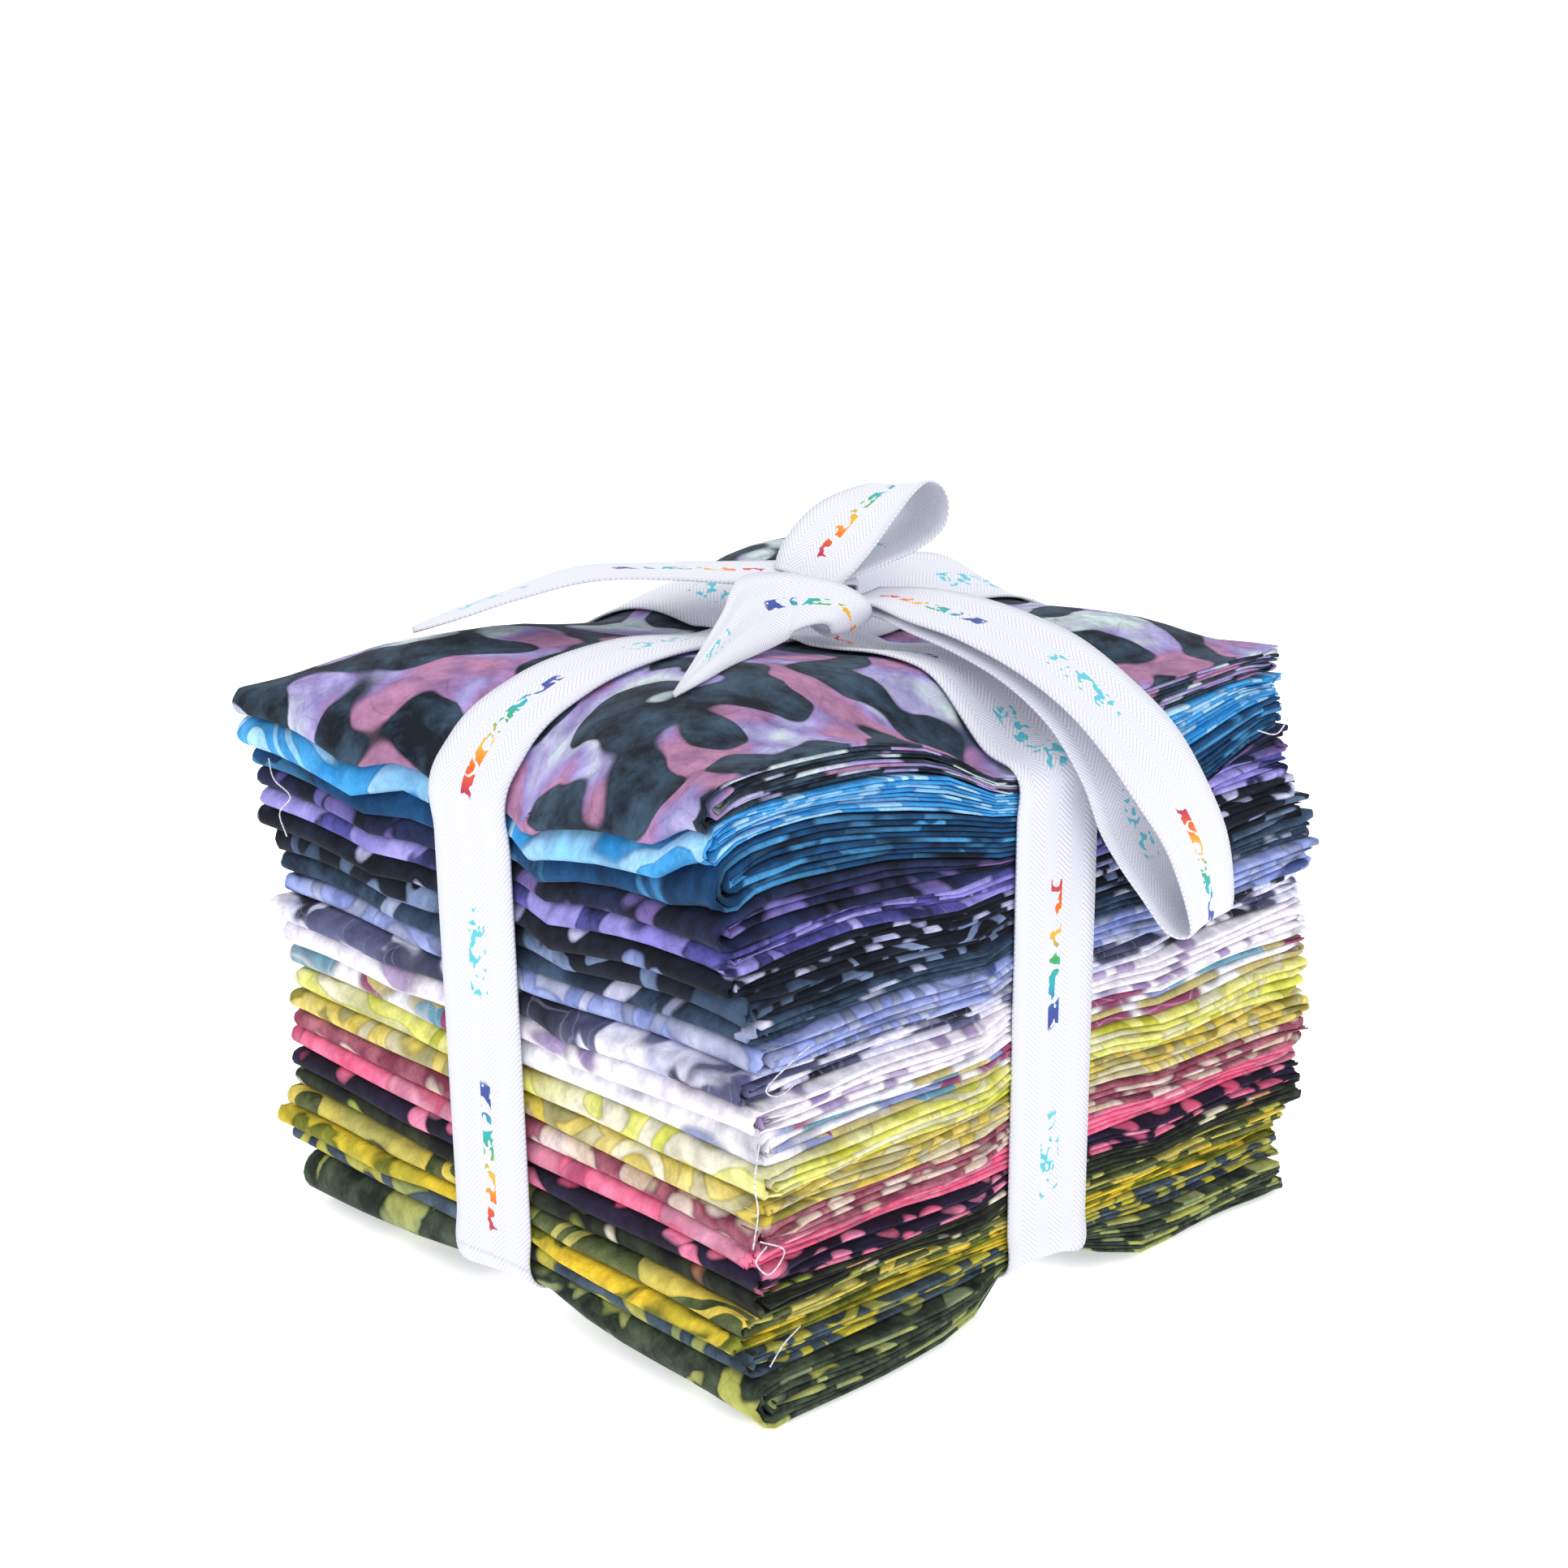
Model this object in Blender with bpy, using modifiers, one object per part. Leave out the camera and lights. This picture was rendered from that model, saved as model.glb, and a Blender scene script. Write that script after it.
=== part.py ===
# A bundle of 22 fat quarters, tied crosswise with one ribbon and a bow.
#
# Each fat quarter is cut 18 by 21 inches, folded along its length into a strip
# of four plies, and the strip is then folded in half twice. The solid is that
# strip: four legs, one outer fold round the spine at -Y, one inner fold inside
# it, and one loop at +Y. All of them lie on the same curved levels, which dip
# where the ribbon pulls them in and crown between its bands.
#
# Sizes are in millimetres until the meshes are made. +Z is up, the spines face
# -Y and the folded edges of the strips show at +X and -X.

import math

import bmesh
import bpy
from mathutils import Vector

MM = 0.001

# Folded fat quarter
WIDTH = 116.0            # across X, a quarter of the cut's 18 inches and its bulge
DEPTH = 133.0            # along Y, a quarter of the cut's 21 inches
PIECE_GAP = 0.3          # between one fat quarter and the next
PUFFED_GAP = 0.4         # the same between the top ones, which curve more
LEG_SHARE = 0.205        # each leg's share of a fat quarter's thickness
SLIT_SHARE = 0.06        # and that of each slit between two legs
TURN_STEPS = 4           # flats round the outer fold
LOOP_STEPS = 3           # flats round the inner fold and the back loop

# Ribbon
RIBBON_WIDTH = 19.0      # three quarters of an inch
RIBBON_THICK = 1.0
RIBBON_GAP = 0.3         # between the ribbon and what it touches
BAND_X = -3.8            # middle of the band that runs along Y
BAND_Y = 2.7             # middle of the band that runs along X
VALLEY_HALF = 10.3       # half of the flat valley that a band lies in
PINCH = 1.2              # how far a band pulls the stack's sides in

# Levels of the stack
SHOULDER_AT = 0.22       # shoulder station, as a share of the way from edge to band
LOBE_AT = 0.78           # foot of the valley, as a share of the same way
CROWN = 12.5             # how far the top rises above its corners
CROWN_POWER = 5.4        # how late it falls off towards the edges
TOP_VALLEY = 2.5         # how deep a band lies in the crown
TOP_SAG = 8.0            # how far the top edge is pulled down under a band
VALLEY_FADE = 36.0       # where a valley ends, from the band's middle
PUFFED = 3               # the top fat quarters that take up the crown
CORE_RISE = 5.0          # rise of the core under them, spread over the rest
CORE_DEPTH = 17
FLOOR_ARCH = 5.0         # how far the bands lift the underside off the floor

# One row for each fat quarter, from the top down. The first three numbers are
# its thickness at the left, near and right corner posts, then how far it lies
# out of line along X and Y, and how much its underside sags under the bands.
QUARTER_COLUMNS = ("left", "near", "right", "shift_x", "shift_y", "sag", "colour")
QUARTER_ROWS = (
    (5.4, 4.9, 5.0, -3.0, -2.5, 5.5, "2f3f4a"),
    (5.3, 4.8, 4.4, -2.5, -2.5, 4.6, "4da6dc"),
    (3.6, 4.6, 4.2, -2.0, -1.0, 3.9, "2d5673"),
    (3.5, 3.6, 3.7, -1.0, -1.5, 3.8, "4a4f6e"),
    (3.5, 3.5, 3.7, -1.5, -0.5, 3.7, "7264b4"),
    (4.0, 3.6, 3.8, -0.5, -1.0, 3.5, "1e1e28"),
    (4.5, 3.9, 3.9, 0.5, -0.5, 2.8, "1b222a"),
    (4.0, 4.2, 4.4, 0.5, 1.0, 2.2, "3b5566"),
    (3.8, 4.7, 5.4, 1.0, 0.5, 1.8, "a3abdd"),
    (4.2, 4.1, 5.0, -0.5, 0.0, 1.5, "cfccc6"),
    (4.8, 4.6, 5.2, 1.0, 0.0, 1.0, "e9dfea"),
    (4.2, 5.4, 5.8, 0.5, 1.0, 0.5, "efe9ec"),
    (4.2, 5.2, 6.4, 1.5, 0.5, 0.0, "cfdf55"),
    (3.7, 4.1, 5.6, 0.5, 0.5, -0.3, "c9c79b"),
    (3.5, 3.6, 4.2, 1.5, 0.5, 0.4, "8f4a6c"),
    (3.5, 3.7, 3.7, 0.0, 0.5, 0.9, "ee728f"),
    (3.7, 3.5, 3.6, 1.0, 0.5, 0.9, "2a2d42"),
    (3.6, 3.7, 4.0, 0.5, 1.0, 0.8, "3d4c3c"),
    (3.9, 3.5, 3.6, 0.0, 0.0, 0.4, "a99f48"),
    (3.6, 3.7, 3.5, -0.5, -1.0, -0.5, "93993f"),
    (4.0, 3.7, 3.5, -0.5, 0.5, -1.0, "4a6798"),
    (10.4, 8.9, 5.8, 0.0, -0.5, 0.0, "3a4c42"),
)
QUARTERS = [dict(zip(QUARTER_COLUMNS, row)) for row in QUARTER_ROWS]
BOTTOM = len(QUARTERS)

# The bow. Each row is one line across the ribbon, from its far edge to its
# near edge as seen from the front, and the ribbon runs from row to row.
RUNG_COLUMNS = ("far_x", "far_y", "far_z", "near_x", "near_y", "near_z")
FRONT_LOOP_RUNGS = (
    (7.4, 13.0, 110.2, 7.4, 3.0, 109.8),
    (16.0, 16.0, 111.0, 16.0, 2.6, 110.4),
    (27.0, 16.2, 111.4, 28.0, -1.8, 110.8),
    (38.2, 16.2, 110.6, 40.0, -2.8, 110.2),
    (50.2, 16.0, 108.4, 52.6, -2.8, 107.4),
    (60.0, 17.9, 102.6, 61.2, -1.1, 102.8),
    (67.0, 19.6, 96.6, 67.6, 0.6, 97.0),
    (71.0, 23.0, 87.6, 72.0, 4.1, 88.9),
    (70.2, 29.9, 76.8, 73.4, 11.3, 78.4),
    (68.2, 34.7, 64.6, 74.0, 16.6, 65.6),
    (66.6, 34.2, 62.0, 72.4, 16.1, 63.4),
    (64.6, 32.6, 63.6, 70.2, 14.4, 64.8),
    (63.2, 30.9, 68.0, 67.4, 12.4, 69.6),
    (61.8, 28.0, 73.6, 65.2, 9.4, 75.0),
    (61.6, 25.0, 80.4, 63.2, 6.2, 81.6),
    (61.6, 21.4, 89.4, 62.4, 2.6, 90.2),
    (57.4, 18.6, 98.0, 58.0, -0.4, 98.8),
    (49.6, 16.2, 104.2, 50.4, -2.4, 104.6),
    (39.6, 16.0, 107.8, 40.0, -2.6, 107.6),
    (28.0, 16.0, 109.0, 28.4, -1.6, 108.9),
    (16.0, 15.0, 108.9, 16.0, 2.8, 108.6),
    (7.4, 12.6, 108.4, 7.4, 3.2, 108.0),
)
BACK_LOOP_RUNGS = (
    (-4.6, 8.4, 115.4, 6.0, 7.4, 115.6),
    (-6.6, 11.4, 117.4, 8.8, 8.4, 118.8),
    (-8.0, 16.2, 119.8, 10.0, 11.6, 122.4),
    (-8.0, 22.0, 122.8, 10.0, 16.4, 126.0),
    (-8.0, 28.0, 124.0, 10.0, 22.2, 127.2),
    (-8.0, 32.2, 122.4, 10.0, 26.6, 125.2),
    (-8.0, 32.8, 119.4, 10.0, 27.4, 121.8),
    (-8.0, 29.6, 116.8, 10.0, 24.8, 118.6),
    (-7.4, 23.4, 114.6, 9.4, 19.2, 116.4),
    (-6.0, 17.6, 112.4, 7.8, 14.8, 113.4),
    (-4.2, 13.0, 110.0, 5.4, 12.6, 110.2),
)
LEFT_TAIL_RUNGS = (
    (-6.7, 9.4, 109.8, -6.7, 1.0, 110.0),
    (-15.6, 4.6, 111.0, -6.0, -5.8, 111.6),
    (-27.8, -7.0, 111.2, -12.1, -17.0, 112.9),
    (-36.0, -17.4, 110.8, -20.0, -27.2, 114.4),
    (-42.0, -28.2, 108.4, -26.6, -37.8, 113.2),
    (-43.6, -38.6, 106.4, -32.6, -45.0, 110.2),
    (-41.2, -49.0, 105.2, -40.2, -49.6, 105.5),
)
FRONT_TAIL_RUNGS = (
    (7.2, 1.6, 107.8, 7.4, -4.6, 107.5),
    (12.6, 1.4, 107.6, 14.0, -7.6, 107.2),
    (17.0, 0.8, 108.6, 17.6, -8.6, 107.6),
    (17.6, 0.0, 111.6, 17.4, -9.4, 109.4),
    (13.0, -0.6, 113.6, 16.2, -11.6, 109.6),
    (7.0, -0.9, 114.0, 14.0, -13.6, 108.4),
    (0.4, -2.2, 113.9, 12.0, -15.4, 107.2),
    (-1.0, -10.1, 113.6, 14.2, -23.1, 106.9),
    (5.1, -21.0, 110.9, 19.3, -33.2, 107.0),
    (14.8, -34.8, 108.4, 23.4, -42.6, 106.9),
    (26.4, -50.6, 106.7, 27.6, -51.4, 106.7),
)
KNOT_CENTRE = (0.0, 6.6, 110.4)
KNOT_SIZE = (12.2, 11.4, 6.6)

BUNDLE_NAME = "fat_quarter_bundle"
RIBBON_COLOUR = "f3f3f8"


def stations(half, band):
    # Places along X or Y: edge, shoulder, lobe and band on each side.
    low, high = band - VALLEY_HALF, band + VALLEY_HALF
    before = [-half + share * (low + half) for share in (0.0, SHOULDER_AT, LOBE_AT)]
    after = [half - share * (half - high) for share in (LOBE_AT, SHOULDER_AT, 0.0)]
    return before + [low, high] + after


X_AT = stations(WIDTH / 2, BAND_X)
Y_AT = stations(DEPTH / 2, BAND_Y)
LAST = len(X_AT) - 1
EDGES = (0, LAST)
BANDS = (3, 4)
COARSE = (0, 3, 4, 7)
LOBED = (0, 2, 3, 4, 5, 7)
FINE = tuple(range(len(X_AT)))


def corner_posts(level):
    # Heights of a level at the four corners; the hidden one is between its neighbours.
    below = QUARTERS[level:]
    left, near, right = (sum(row[post] for row in below) for post in ("left", "near", "right"))
    return left, near, right, (left + right) / 2


def frame_height(level, x, y):
    left, near, right, back = corner_posts(level)
    u = x / WIDTH + 0.5
    v = y / DEPTH + 0.5
    front_side = left + (near - left) * u
    back_side = back + (right - back) * u
    return front_side + (back_side - front_side) * v


def sag_under_band(level):
    return TOP_SAG if level == 0 else QUARTERS[level - 1]["sag"]


def in_valley(distance):
    # 1 in the flat of a valley, falling to 0 where it ends.
    past = max(0.0, abs(distance) - VALLEY_HALF) / (VALLEY_FADE - VALLEY_HALF)
    return 0.5 + 0.5 * math.cos(math.pi * min(past, 1.0))


def crowned_offset(x, y, share, edge_sag):
    u = min(1.0, abs(x) / (WIDTH / 2)) ** CROWN_POWER
    v = min(1.0, abs(y) / (DEPTH / 2)) ** CROWN_POWER
    along_y = in_valley(x - BAND_X) * (share * TOP_VALLEY * (1 - v) + edge_sag * v)
    along_x = in_valley(y - BAND_Y) * (share * TOP_VALLEY * (1 - u) + edge_sag * u)
    return share * CROWN * (1 - u) * (1 - v) - along_y - along_x


def coarse_node(level, i, j):
    base = frame_height(level, X_AT[i], Y_AT[j])
    if i in EDGES and j in EDGES:
        return base
    if i in EDGES or j in EDGES:
        return base - sag_under_band(level)
    return base + CORE_RISE * max(0.0, 1 - (level - PUFFED) / CORE_DEPTH)


def coarse_height(level, i, j):
    # The height on flat triangles between the coarse stations. Each lobe is cut
    # across its corner, so the corner itself stays flat.
    i0 = 0 if i < 3 else 3 if i < 4 else 4
    i1 = {0: 3, 3: 4, 4: 7}[i0]
    j0 = 0 if j < 3 else 3 if j < 4 else 4
    j1 = {0: 3, 3: 4, 4: 7}[j0]
    s = (X_AT[i] - X_AT[i0]) / (X_AT[i1] - X_AT[i0])
    t = (Y_AT[j] - Y_AT[j0]) / (Y_AT[j1] - Y_AT[j0])
    a, b = coarse_node(level, i0, j0), coarse_node(level, i1, j0)
    c, d = coarse_node(level, i1, j1), coarse_node(level, i0, j1)
    rising = (i0 == 4) != (j0 == 4)
    if rising:
        return a + s * (b - a) + t * (c - b) if s > t else a + t * (d - a) + s * (c - d)
    if s + t < 1:
        return a + s * (b - a) + t * (d - a)
    return c + (1 - s) * (d - c) + (1 - t) * (b - c)


def station_height(level, i, j):
    base = frame_height(level, X_AT[i], Y_AT[j])
    if level == BOTTOM:
        return FLOOR_ARCH if i in BANDS or j in BANDS else 0.0
    if level >= PUFFED:
        return coarse_height(level, i, j)
    share = (PUFFED - level) / PUFFED
    edge_sag = sag_under_band(level) - (1 - share) * sag_under_band(PUFFED)
    crowned = crowned_offset(X_AT[i], Y_AT[j], share, edge_sag)
    core_rise = coarse_height(PUFFED, i, j) - frame_height(PUFFED, X_AT[i], Y_AT[j])
    return base + crowned + (1 - share) * core_rise


HEIGHTS = [[[station_height(level, i, j) for j in FINE] for i in FINE] for level in range(BOTTOM + 1)]


def level_near(level, x, y):
    # Height of a level in the valleys: from the nearest station on one side and
    # straight between the two band stations on the other.
    def weights(places, value):
        nearest = min(FINE, key=lambda n: abs(places[n] - value))
        if nearest not in BANDS:
            return {nearest: 1.0}
        share = (value - places[3]) / (places[4] - places[3])
        if 0.0 <= share <= 1.0:
            return {3: 1.0 - share, 4: share}
        return {nearest: 1.0}

    across = weights(X_AT, x)
    along = weights(Y_AT, y)
    return sum(HEIGHTS[level][i][j] * across[i] * along[j] for i in across for j in along)


def side_x(number, i, j):
    # Where a fat quarter's folded edge lies; the band along X pulls all in line.
    if i not in EDGES:
        return X_AT[i]
    side = math.copysign(1.0, X_AT[i])
    if j in BANDS:
        return side * (WIDTH / 2 - PINCH)
    return side * WIDTH / 2 + QUARTERS[number]["shift_x"]


def side_y(number, i, back):
    side = 1.0 if back else -1.0
    if i in BANDS:
        return side * (DEPTH / 2 - PINCH)
    return side * DEPTH / 2 + QUARTERS[number]["shift_y"]


def faces_of(number, i, j, back_share=0.0, before=0):
    # Top of a fat quarter at a station, and its thickness there; or at a share
    # of the way from there to the station before it.
    def half_gap(level):
        if level in (0, BOTTOM):
            return 0.0
        return PUFFED_GAP / 2 if level <= PUFFED else PIECE_GAP / 2

    upper, lower = (HEIGHTS[level][i] for level in (number, number + 1))
    top = upper[j] + (upper[before] - upper[j]) * back_share - half_gap(number)
    bottom = lower[j] + (lower[before] - lower[j]) * back_share + half_gap(number + 1)
    return top, top - bottom


def fold_arc(x, levels, y_centre, outer, inner, middle, steps, towards):
    # Pairs of points round a fold, from its upper leg to its lower one.
    top, thick = levels
    pairs = []
    for step in range(1, steps):
        out = towards * math.sin(math.pi * step / steps)
        up = math.cos(math.pi * step / steps)
        pairs.append([Vector((x, y_centre + out * share * thick, top - (middle - up * share) * thick))
                      for share in (outer, inner)])
    return pairs


def strip_section(number, i, used):
    # One cross section of the folded strip: pairs of points on its two sides,
    # from the free end of the top leg to the free end of the one under it.
    pitch = LEG_SHARE + SLIT_SHARE
    loop_outer = LEG_SHARE + SLIT_SHARE / 2
    loop_inner = SLIT_SHARE / 2
    spine_y = side_y(number, i, back=False) + faces_of(number, i, 0)[1] / 2
    back_y = side_y(number, i, back=True)
    loop_y = back_y - loop_outer * faces_of(number, i, LAST)[1]
    loop_levels = faces_of(number, i, LAST, (back_y - loop_y) / (back_y - Y_AT[used[-2]]), used[-2])

    def leg(index, towards_back):
        pairs = []
        for j in used:
            y = {0: spine_y, LAST: back_y}.get(j, Y_AT[j])
            top, thick = faces_of(number, i, j)
            if j == LAST and index > 1:
                y = loop_y
                top, thick = loop_levels
            shares = (index * pitch, index * pitch + LEG_SHARE)
            pairs.append([Vector((side_x(number, i, j), y, top - share * thick)) for share in shares])
        return pairs if towards_back else pairs[::-1]

    def swapped(pairs):
        return [pair[::-1] for pair in pairs]

    spine_levels = faces_of(number, i, 0)
    x = side_x(number, i, 0)
    outer_turn = fold_arc(x, spine_levels, spine_y, 0.5, 0.5 - LEG_SHARE, 0.5, TURN_STEPS, -1)
    inner_turn = fold_arc(x, spine_levels, spine_y, loop_outer, loop_inner, 0.5, LOOP_STEPS, -1)
    x = side_x(number, i, LAST)
    loop_middle = 2.5 * pitch + LEG_SHARE / 2
    back_loop = fold_arc(x, loop_levels, loop_y, loop_outer, loop_inner, loop_middle, LOOP_STEPS, 1)
    strip = leg(0, False) + outer_turn
    strip += swapped(leg(3, True))
    strip += back_loop[::-1]
    strip += leg(2, False)
    strip += swapped(inner_turn)[::-1]
    strip += swapped(leg(1, True))
    return strip


def add_split_quad(bm, a, b, c, d):
    # Two triangles, split so that in plan the cut runs across the lobe's corner;
    # every layer is split alike and stays parallel to the next.
    middle = (a.co + b.co + c.co + d.co) / 4
    rising = (middle.x - BAND_X) * (middle.y - BAND_Y) < 0
    across = c.co - a.co
    if (across.x * across.y > 0) == rising:
        bm.faces.new((a, b, c))
        bm.faces.new((a, c, d))
    else:
        bm.faces.new((a, b, d))
        bm.faces.new((b, c, d))


def new_material(name, colour, roughness):
    material = bpy.data.materials.new(name)
    material.use_nodes = True
    channels = [int(colour[n:n + 2], 16) / 255 for n in (0, 2, 4)]
    linear = [c / 12.92 if c <= 0.04045 else ((c + 0.055) / 1.055) ** 2.4 for c in channels]
    shader = material.node_tree.nodes["Principled BSDF"]
    shader.inputs["Base Color"].default_value = (*linear, 1.0)
    shader.inputs["Roughness"].default_value = roughness
    shader.inputs["Metallic"].default_value = 0.0
    material.diffuse_color = (*linear, 1.0)
    return material


def new_object(name, bm, material, parent, collection):
    for vertex in bm.verts:
        vertex.co *= MM
    mesh = bpy.data.meshes.new(name)
    bm.to_mesh(mesh)
    bm.free()
    mesh.materials.append(material)
    item = bpy.data.objects.new(name, mesh)
    item.parent = parent
    collection.objects.link(item)
    return item


def folded_quarter(number, parent, collection):
    # A loft between unlike sections, because each station has its own heights.
    used = COARSE
    if number < PUFFED:
        used = FINE
    elif number + 1 == BOTTOM:
        used = LOBED
    sections = [strip_section(number, i, used) for i in used]
    bm = bmesh.new()
    rings = []
    for section in sections:
        outline = [pair[0] for pair in section] + [pair[1] for pair in reversed(section)]
        rings.append([bm.verts.new(point) for point in outline])
    count = len(rings[0])
    for ring, following in zip(rings, rings[1:]):
        for n in range(count):
            m = (n + 1) % count
            add_split_quad(bm, ring[n], ring[m], following[m], following[n])
    for ring in (rings[0], rings[-1]):
        for n in range(count // 2 - 1):
            bm.faces.new((ring[n], ring[n + 1], ring[count - 2 - n], ring[count - 1 - n]))
    bmesh.ops.recalc_face_normals(bm, faces=bm.faces)
    bmesh.ops.triangulate(bm, faces=[face for face in bm.faces if len(face.verts) > 3])
    name = f"fat_quarter_{number + 1:02d}"
    material = new_material(f"{name}_cotton", QUARTERS[number]["colour"], 0.9)
    return new_object(name, bm, material, parent, collection)


def ribbon_from_rows(name, rows, closed, offset, material, parent, collection):
    # An open strip through the rows, given its thickness by Solidify.
    bm = bmesh.new()
    lines = [[bm.verts.new(point) for point in row] for row in rows]
    following = lines[1:] + lines[:1] if closed else lines[1:]
    for (a, b), (d, c) in zip(lines, following):
        bm.faces.new((a, b, c, d))
    strip = new_object(name, bm, material, parent, collection)
    solid = strip.modifiers.new("thickness", "SOLIDIFY")
    solid.thickness = RIBBON_THICK * MM
    solid.offset = offset
    solid.use_even_offset = True
    return strip


def band_along_y(x):
    # The path of one edge of the band: over the top, down the back, under and up.
    # In front it follows the round spines of the top and bottom fat quarters.
    front, back = -DEPTH / 2 + PINCH, DEPTH / 2 - PINCH
    first, last = Y_AT[0], Y_AT[LAST]

    def spine(upper, lower, side):
        radius = (level_near(upper, x, first) - level_near(lower, x, first)) / 2
        middle = level_near(lower, x, first) + radius
        bevel = (radius + RIBBON_GAP) * math.sqrt(0.5)
        centre = front + radius
        return [(front - RIBBON_GAP, middle), (centre - bevel, middle + side * bevel),
                (centre, middle + side * (radius + RIBBON_GAP))]

    path = spine(0, 1, 1)
    path += [(y, level_near(0, x, y) + RIBBON_GAP) for y in Y_AT[1:LAST]]
    path.append((back, level_near(0, x, last) + RIBBON_GAP))
    path.append((back + RIBBON_GAP, level_near(0, x, last) - RIBBON_GAP))
    path.append((back + RIBBON_GAP, level_near(BOTTOM, x, last) + RIBBON_GAP))
    path.append((back, level_near(BOTTOM, x, last) - RIBBON_GAP))
    path += [(Y_AT[n], level_near(BOTTOM, x, Y_AT[n]) - RIBBON_GAP) for n in reversed(LOBED[1:-1])]
    path += spine(BOTTOM - 1, BOTTOM, -1)[::-1]
    return [Vector((x, y, z)) for y, z in path]


def band_along_x(y):
    # The same for the other band, which crosses outside the first one.
    side = WIDTH / 2 - PINCH
    step = RIBBON_THICK + RIBBON_GAP

    def lift(n):
        return RIBBON_GAP + (step if n in BANDS else 0.0)

    def corner(end, level, face):
        z = level_near(level, X_AT[end], y)
        out = math.copysign(side, X_AT[end])
        return [(out, z + face * RIBBON_GAP), (out + math.copysign(RIBBON_GAP, out), z - face * RIBBON_GAP)]

    path = corner(0, 0, 1)[::-1]
    path += [(X_AT[n], level_near(0, X_AT[n], y) + lift(n)) for n in FINE[1:-1]]
    path += corner(LAST, 0, 1) + corner(LAST, BOTTOM, -1)[::-1]
    path += [(X_AT[n], level_near(BOTTOM, X_AT[n], y) - lift(n)) for n in reversed(LOBED[1:-1])]
    path += corner(0, BOTTOM, -1)
    return [Vector((x, y, z)) for x, z in path]


def bow_rows(rungs):
    rows = []
    for values in rungs:
        rung = dict(zip(RUNG_COLUMNS, values))
        rows.append([Vector((rung[f"{edge}_x"], rung[f"{edge}_y"], rung[f"{edge}_z"])) for edge in ("far", "near")])
    return rows


def add_knot(material, parent, collection):
    # A soft lump from a cube cage, waisted where the ribbon wraps round it.
    bpy.ops.mesh.primitive_cube_add(size=1.0)
    knot = bpy.context.object
    knot.name = "ribbon_knot"
    knot.data.name = "ribbon_knot"
    bm = bmesh.new()
    bm.from_mesh(knot.data)
    bmesh.ops.subdivide_edges(bm, edges=bm.edges[:], cuts=1, use_grid_fill=True)
    for vertex in bm.verts:
        waist = 1.0 if abs(vertex.co.x) > 0.1 else 0.82
        scaled = [vertex.co[axis] * KNOT_SIZE[axis] for axis in range(3)]
        vertex.co = (Vector((scaled[0], scaled[1] * waist, scaled[2])) + Vector(KNOT_CENTRE)) * MM
    bm.to_mesh(knot.data)
    bm.free()
    knot.data.materials.append(material)
    soft = knot.modifiers.new("soft", "SUBSURF")
    soft.levels = 1
    soft.render_levels = 1
    knot.parent = parent
    for owner in list(knot.users_collection):
        owner.objects.unlink(knot)
    collection.objects.link(knot)
    return knot


def centre_on_floor(parent, collection):
    # The origin is the middle of the whole bundle's box, on the floor.
    bpy.context.view_layer.update()
    graph = bpy.context.evaluated_depsgraph_get()
    corners = []
    for item in collection.objects:
        if item.type == "MESH":
            shown = item.evaluated_get(graph)
            corners += [shown.matrix_world @ vertex.co for vertex in shown.data.vertices]
    low = [min(corner[axis] for corner in corners) for axis in range(3)]
    high = [max(corner[axis] for corner in corners) for axis in range(3)]
    parent.location = (-(low[0] + high[0]) / 2, -(low[1] + high[1]) / 2, -low[2])


def build():
    for item in list(bpy.data.objects):
        bpy.data.objects.remove(item, do_unlink=True)
    collection = bpy.data.collections.new(BUNDLE_NAME)
    bpy.context.scene.collection.children.link(collection)
    parent = bpy.data.objects.new("bundle_origin", None)
    collection.objects.link(parent)
    for number in range(BOTTOM):
        folded_quarter(number, parent, collection)

    half = RIBBON_WIDTH / 2
    pieces = (
        ("ribbon_band_front_back", list(zip(band_along_y(BAND_X - half), band_along_y(BAND_X + half))), True, 1.0),
        ("ribbon_band_side_side", list(zip(band_along_x(BAND_Y - half), band_along_x(BAND_Y + half))), True, -1.0),
        ("bow_loop_front", bow_rows(FRONT_LOOP_RUNGS), False, 0.0),
        ("bow_loop_back", bow_rows(BACK_LOOP_RUNGS), False, 0.0),
        ("bow_tail_left", bow_rows(LEFT_TAIL_RUNGS), False, 0.0),
        ("bow_tail_front", bow_rows(FRONT_TAIL_RUNGS), False, 0.0),
    )
    for name, rows, closed, offset in pieces:
        material = new_material(f"{name}_twill", RIBBON_COLOUR, 0.7)
        ribbon_from_rows(name, rows, closed, offset, material, parent, collection)
    add_knot(new_material("ribbon_knot_twill", RIBBON_COLOUR, 0.7), parent, collection)
    centre_on_floor(parent, collection)


build()
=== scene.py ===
import math

import bpy
import numpy as np
from mathutils import Matrix, Vector


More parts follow.
